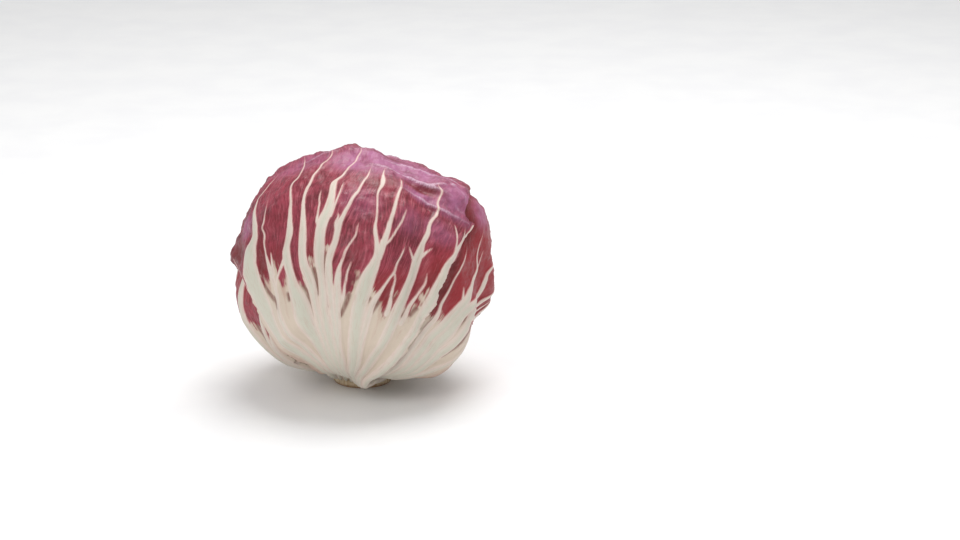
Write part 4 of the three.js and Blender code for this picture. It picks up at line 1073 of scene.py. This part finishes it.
def heart_piece():
    """The dense heart, with leaf edges that wind round its crown and a socket for the stem."""
    turn = np.linspace(0, 360, HEART_SIDES, endpoint=False)
    from_crown = np.linspace(HEART_FIRST_RING, HEART_LAST_RING, HEART_RINGS)
    from_crown, turn = (a.ravel() for a in np.meshgrid(from_crown, turn, indexing="ij"))
    ways = direction(turn, 90 - from_crown)
    tooth = ((turn + HEART_TURN * from_crown) * HEART_EDGES / 360) % 1
    step = (1 - tooth) * smoothstep(tooth, 0, HEART_EDGE_SHARE)
    swirl = HEART_SWIRL * (step * (1 - smoothstep(from_crown, *HEART_SWIRL_FADE)) - 1)
    radius = from_globe(HEART_GLOBE, ways) + swirl
    shell = (HEAD_CENTRE + ways * radius[:, None]).reshape(HEART_RINGS, HEART_SIDES, 3)
    socket = [stem_ring(r + SOCKET_GAP, z + SOCKET_GAP, HEART_SIDES)
              for r, z in STEM_PROFILE[::-1] if z >= SOCKET_MOUTH]
    rings = np.concatenate([np.array(socket), shell])
    roof = STEM_AXIS + (0, 0, STEM_PROFILE[-1][1] + SOCKET_GAP)
    crown_way = np.array([[0.0, 0.0, 1.0]])
    crown = HEAD_CENTRE + crown_way[0] * (from_globe(HEART_GLOBE, crown_way)[0] - HEART_SWIRL)
    padding = np.zeros(len(socket) * HEART_SIDES)
    across = np.concatenate([padding, (tooth - 0.5) * HEART_LEAF_WIDTH])
    up = np.concatenate([padding + HEART_RIB_HEIGHTS[0], HEART_LEAF_TOP - from_crown])
    place = np.column_stack([across, up])
    from_rib = np.abs((across + HEART_LEAF_WIDTH / 2) % HEART_RIB_SPACING - HEART_RIB_SPACING / 2)
    fields = {field: np.zeros(len(place)) for field in COLOUR_FIELDS}
    fields["rib"] = np.interp(up, HEART_RIB_HEIGHTS, HEART_RIB_WIDTHS) - from_rib
    fields["vein"] -= FAR
    fields["below"] = clamp(HEART_BLADE_START - up, -BASE_REACH, BASE_REACH)
    return rings_object("heart_dressed", rings, roof, crown, fields, place)


def stem_ring(radius, height, sides):
    turn = np.linspace(0, 2 * math.pi, sides, endpoint=False)
    ring = np.stack([np.cos(turn) * radius, np.sin(turn) * radius, np.full(sides, height)], -1)
    return ring + STEM_AXIS


def stem_piece():
    """The stem, a little fluted above its flat cut face."""
    profile = through(STEM_PROFILE, STEM_STEPS)
    inset = [(STEM_PROFILE[0][0] * share, 0.0) for share in CUT_RINGS]
    rings = np.array([stem_ring(r, z, STEM_SIDES) for r, z in [*inset, *profile]])
    spots = rings.reshape(-1, 3)
    turn = np.arctan2(spots[:, 1] - STEM_AXIS[1], spots[:, 0] - STEM_AXIS[0])
    flutes = sum(height * np.sin(count * turn + phase) for height, count, phase in STEM_FLUTES)
    outward = np.stack([np.cos(turn), np.sin(turn), 0 * turn], -1)
    spots = spots + outward * (smoothstep(spots[:, 2], *FLUTE_START) * flutes)[:, None]
    top = STEM_AXIS + (0, 0, STEM_PROFILE[-1][1])
    return rings_object("stem_dressed", spots.reshape(rings.shape), STEM_AXIS, top, {}, spots[:, :2])


dress(heart_piece(), "heart", leaf_material("radicchio_heart", ruddy=0.3))
dress(stem_piece(), "stem", stem_material())

# ---- floor, light and camera
IMAGE_WIDTH, IMAGE_HEIGHT = 960, 540
VIEW_ELEVATION = 17
CAMERA_DISTANCE = 1.3
LENS = 113.4
HEAD_PIXEL = (361.5, 264.5)  # where the head's centre falls in the picture
WORLD_STRENGTH = 0.5
FLOOR_SIZE = 8
FLOOR_GREY = srgb(246, 246, 247)
FLOOR_WHITE = srgb(250, 250, 250)


def make_floor():
    bpy.ops.mesh.primitive_plane_add(size=FLOOR_SIZE)
    floor = bpy.context.object
    floor.name = "floor"
    s = Shader("pale_floor")
    grain = s.noise(s.body, 30, 3, 0.5)
    colour = s.mix(s.step(grain, 0.3, 0.7), FLOOR_GREY, FLOOR_WHITE)
    floor.data.materials.append(s.finish({"Base Color": colour, "Roughness": 0.6}))


def make_area_light(name, azimuth, elevation, distance, size, power):
    data = bpy.data.lights.new(name, "AREA")
    data.shape = "DISK"
    data.size = size
    data.energy = power
    light = add_object(name, data)
    way = Vector(direction(azimuth, elevation).tolist())
    light.location = Vector(HEAD_CENTRE.tolist()) + way * distance
    light.rotation_euler = way.to_track_quat("Z", "Y").to_euler()


def make_camera():
    """Looks at the head from the front, aimed so that it falls where the photograph has it."""
    data = bpy.data.cameras.new("camera")
    data.lens = LENS
    metres_per_pixel = data.sensor_width / LENS * CAMERA_DISTANCE / IMAGE_WIDTH
    tilt = math.radians(VIEW_ELEVATION)
    back = Vector((0, -math.cos(tilt), math.sin(tilt)))
    up = Vector((0, math.sin(tilt), math.cos(tilt)))
    right_shift = (IMAGE_WIDTH / 2 - HEAD_PIXEL[0]) * metres_per_pixel
    down_shift = (IMAGE_HEIGHT / 2 - HEAD_PIXEL[1]) * metres_per_pixel
    aim = Vector(HEAD_CENTRE.tolist()) + Vector((right_shift, 0, 0)) - up * down_shift
    camera = add_object("camera", data)
    camera.location = aim + back * CAMERA_DISTANCE
    camera.rotation_euler = back.to_track_quat("Z", "Y").to_euler()
    bpy.context.scene.camera = camera


def make_world():
    world = bpy.data.worlds.new("studio")
    world.use_nodes = True
    background = world.node_tree.nodes["Background"]
    background.inputs["Color"].default_value = (1, 1, 1, 1)
    background.inputs["Strength"].default_value = WORLD_STRENGTH
    bpy.context.scene.world = world


make_floor()
make_area_light("top_softbox", azimuth=60, elevation=72, distance=0.9, size=0.7, power=6.5)
make_area_light("front_fill", azimuth=-120, elevation=35, distance=1.2, size=0.8, power=3.5)
make_camera()
make_world()
bpy.context.scene.view_settings.view_transform = "Standard"
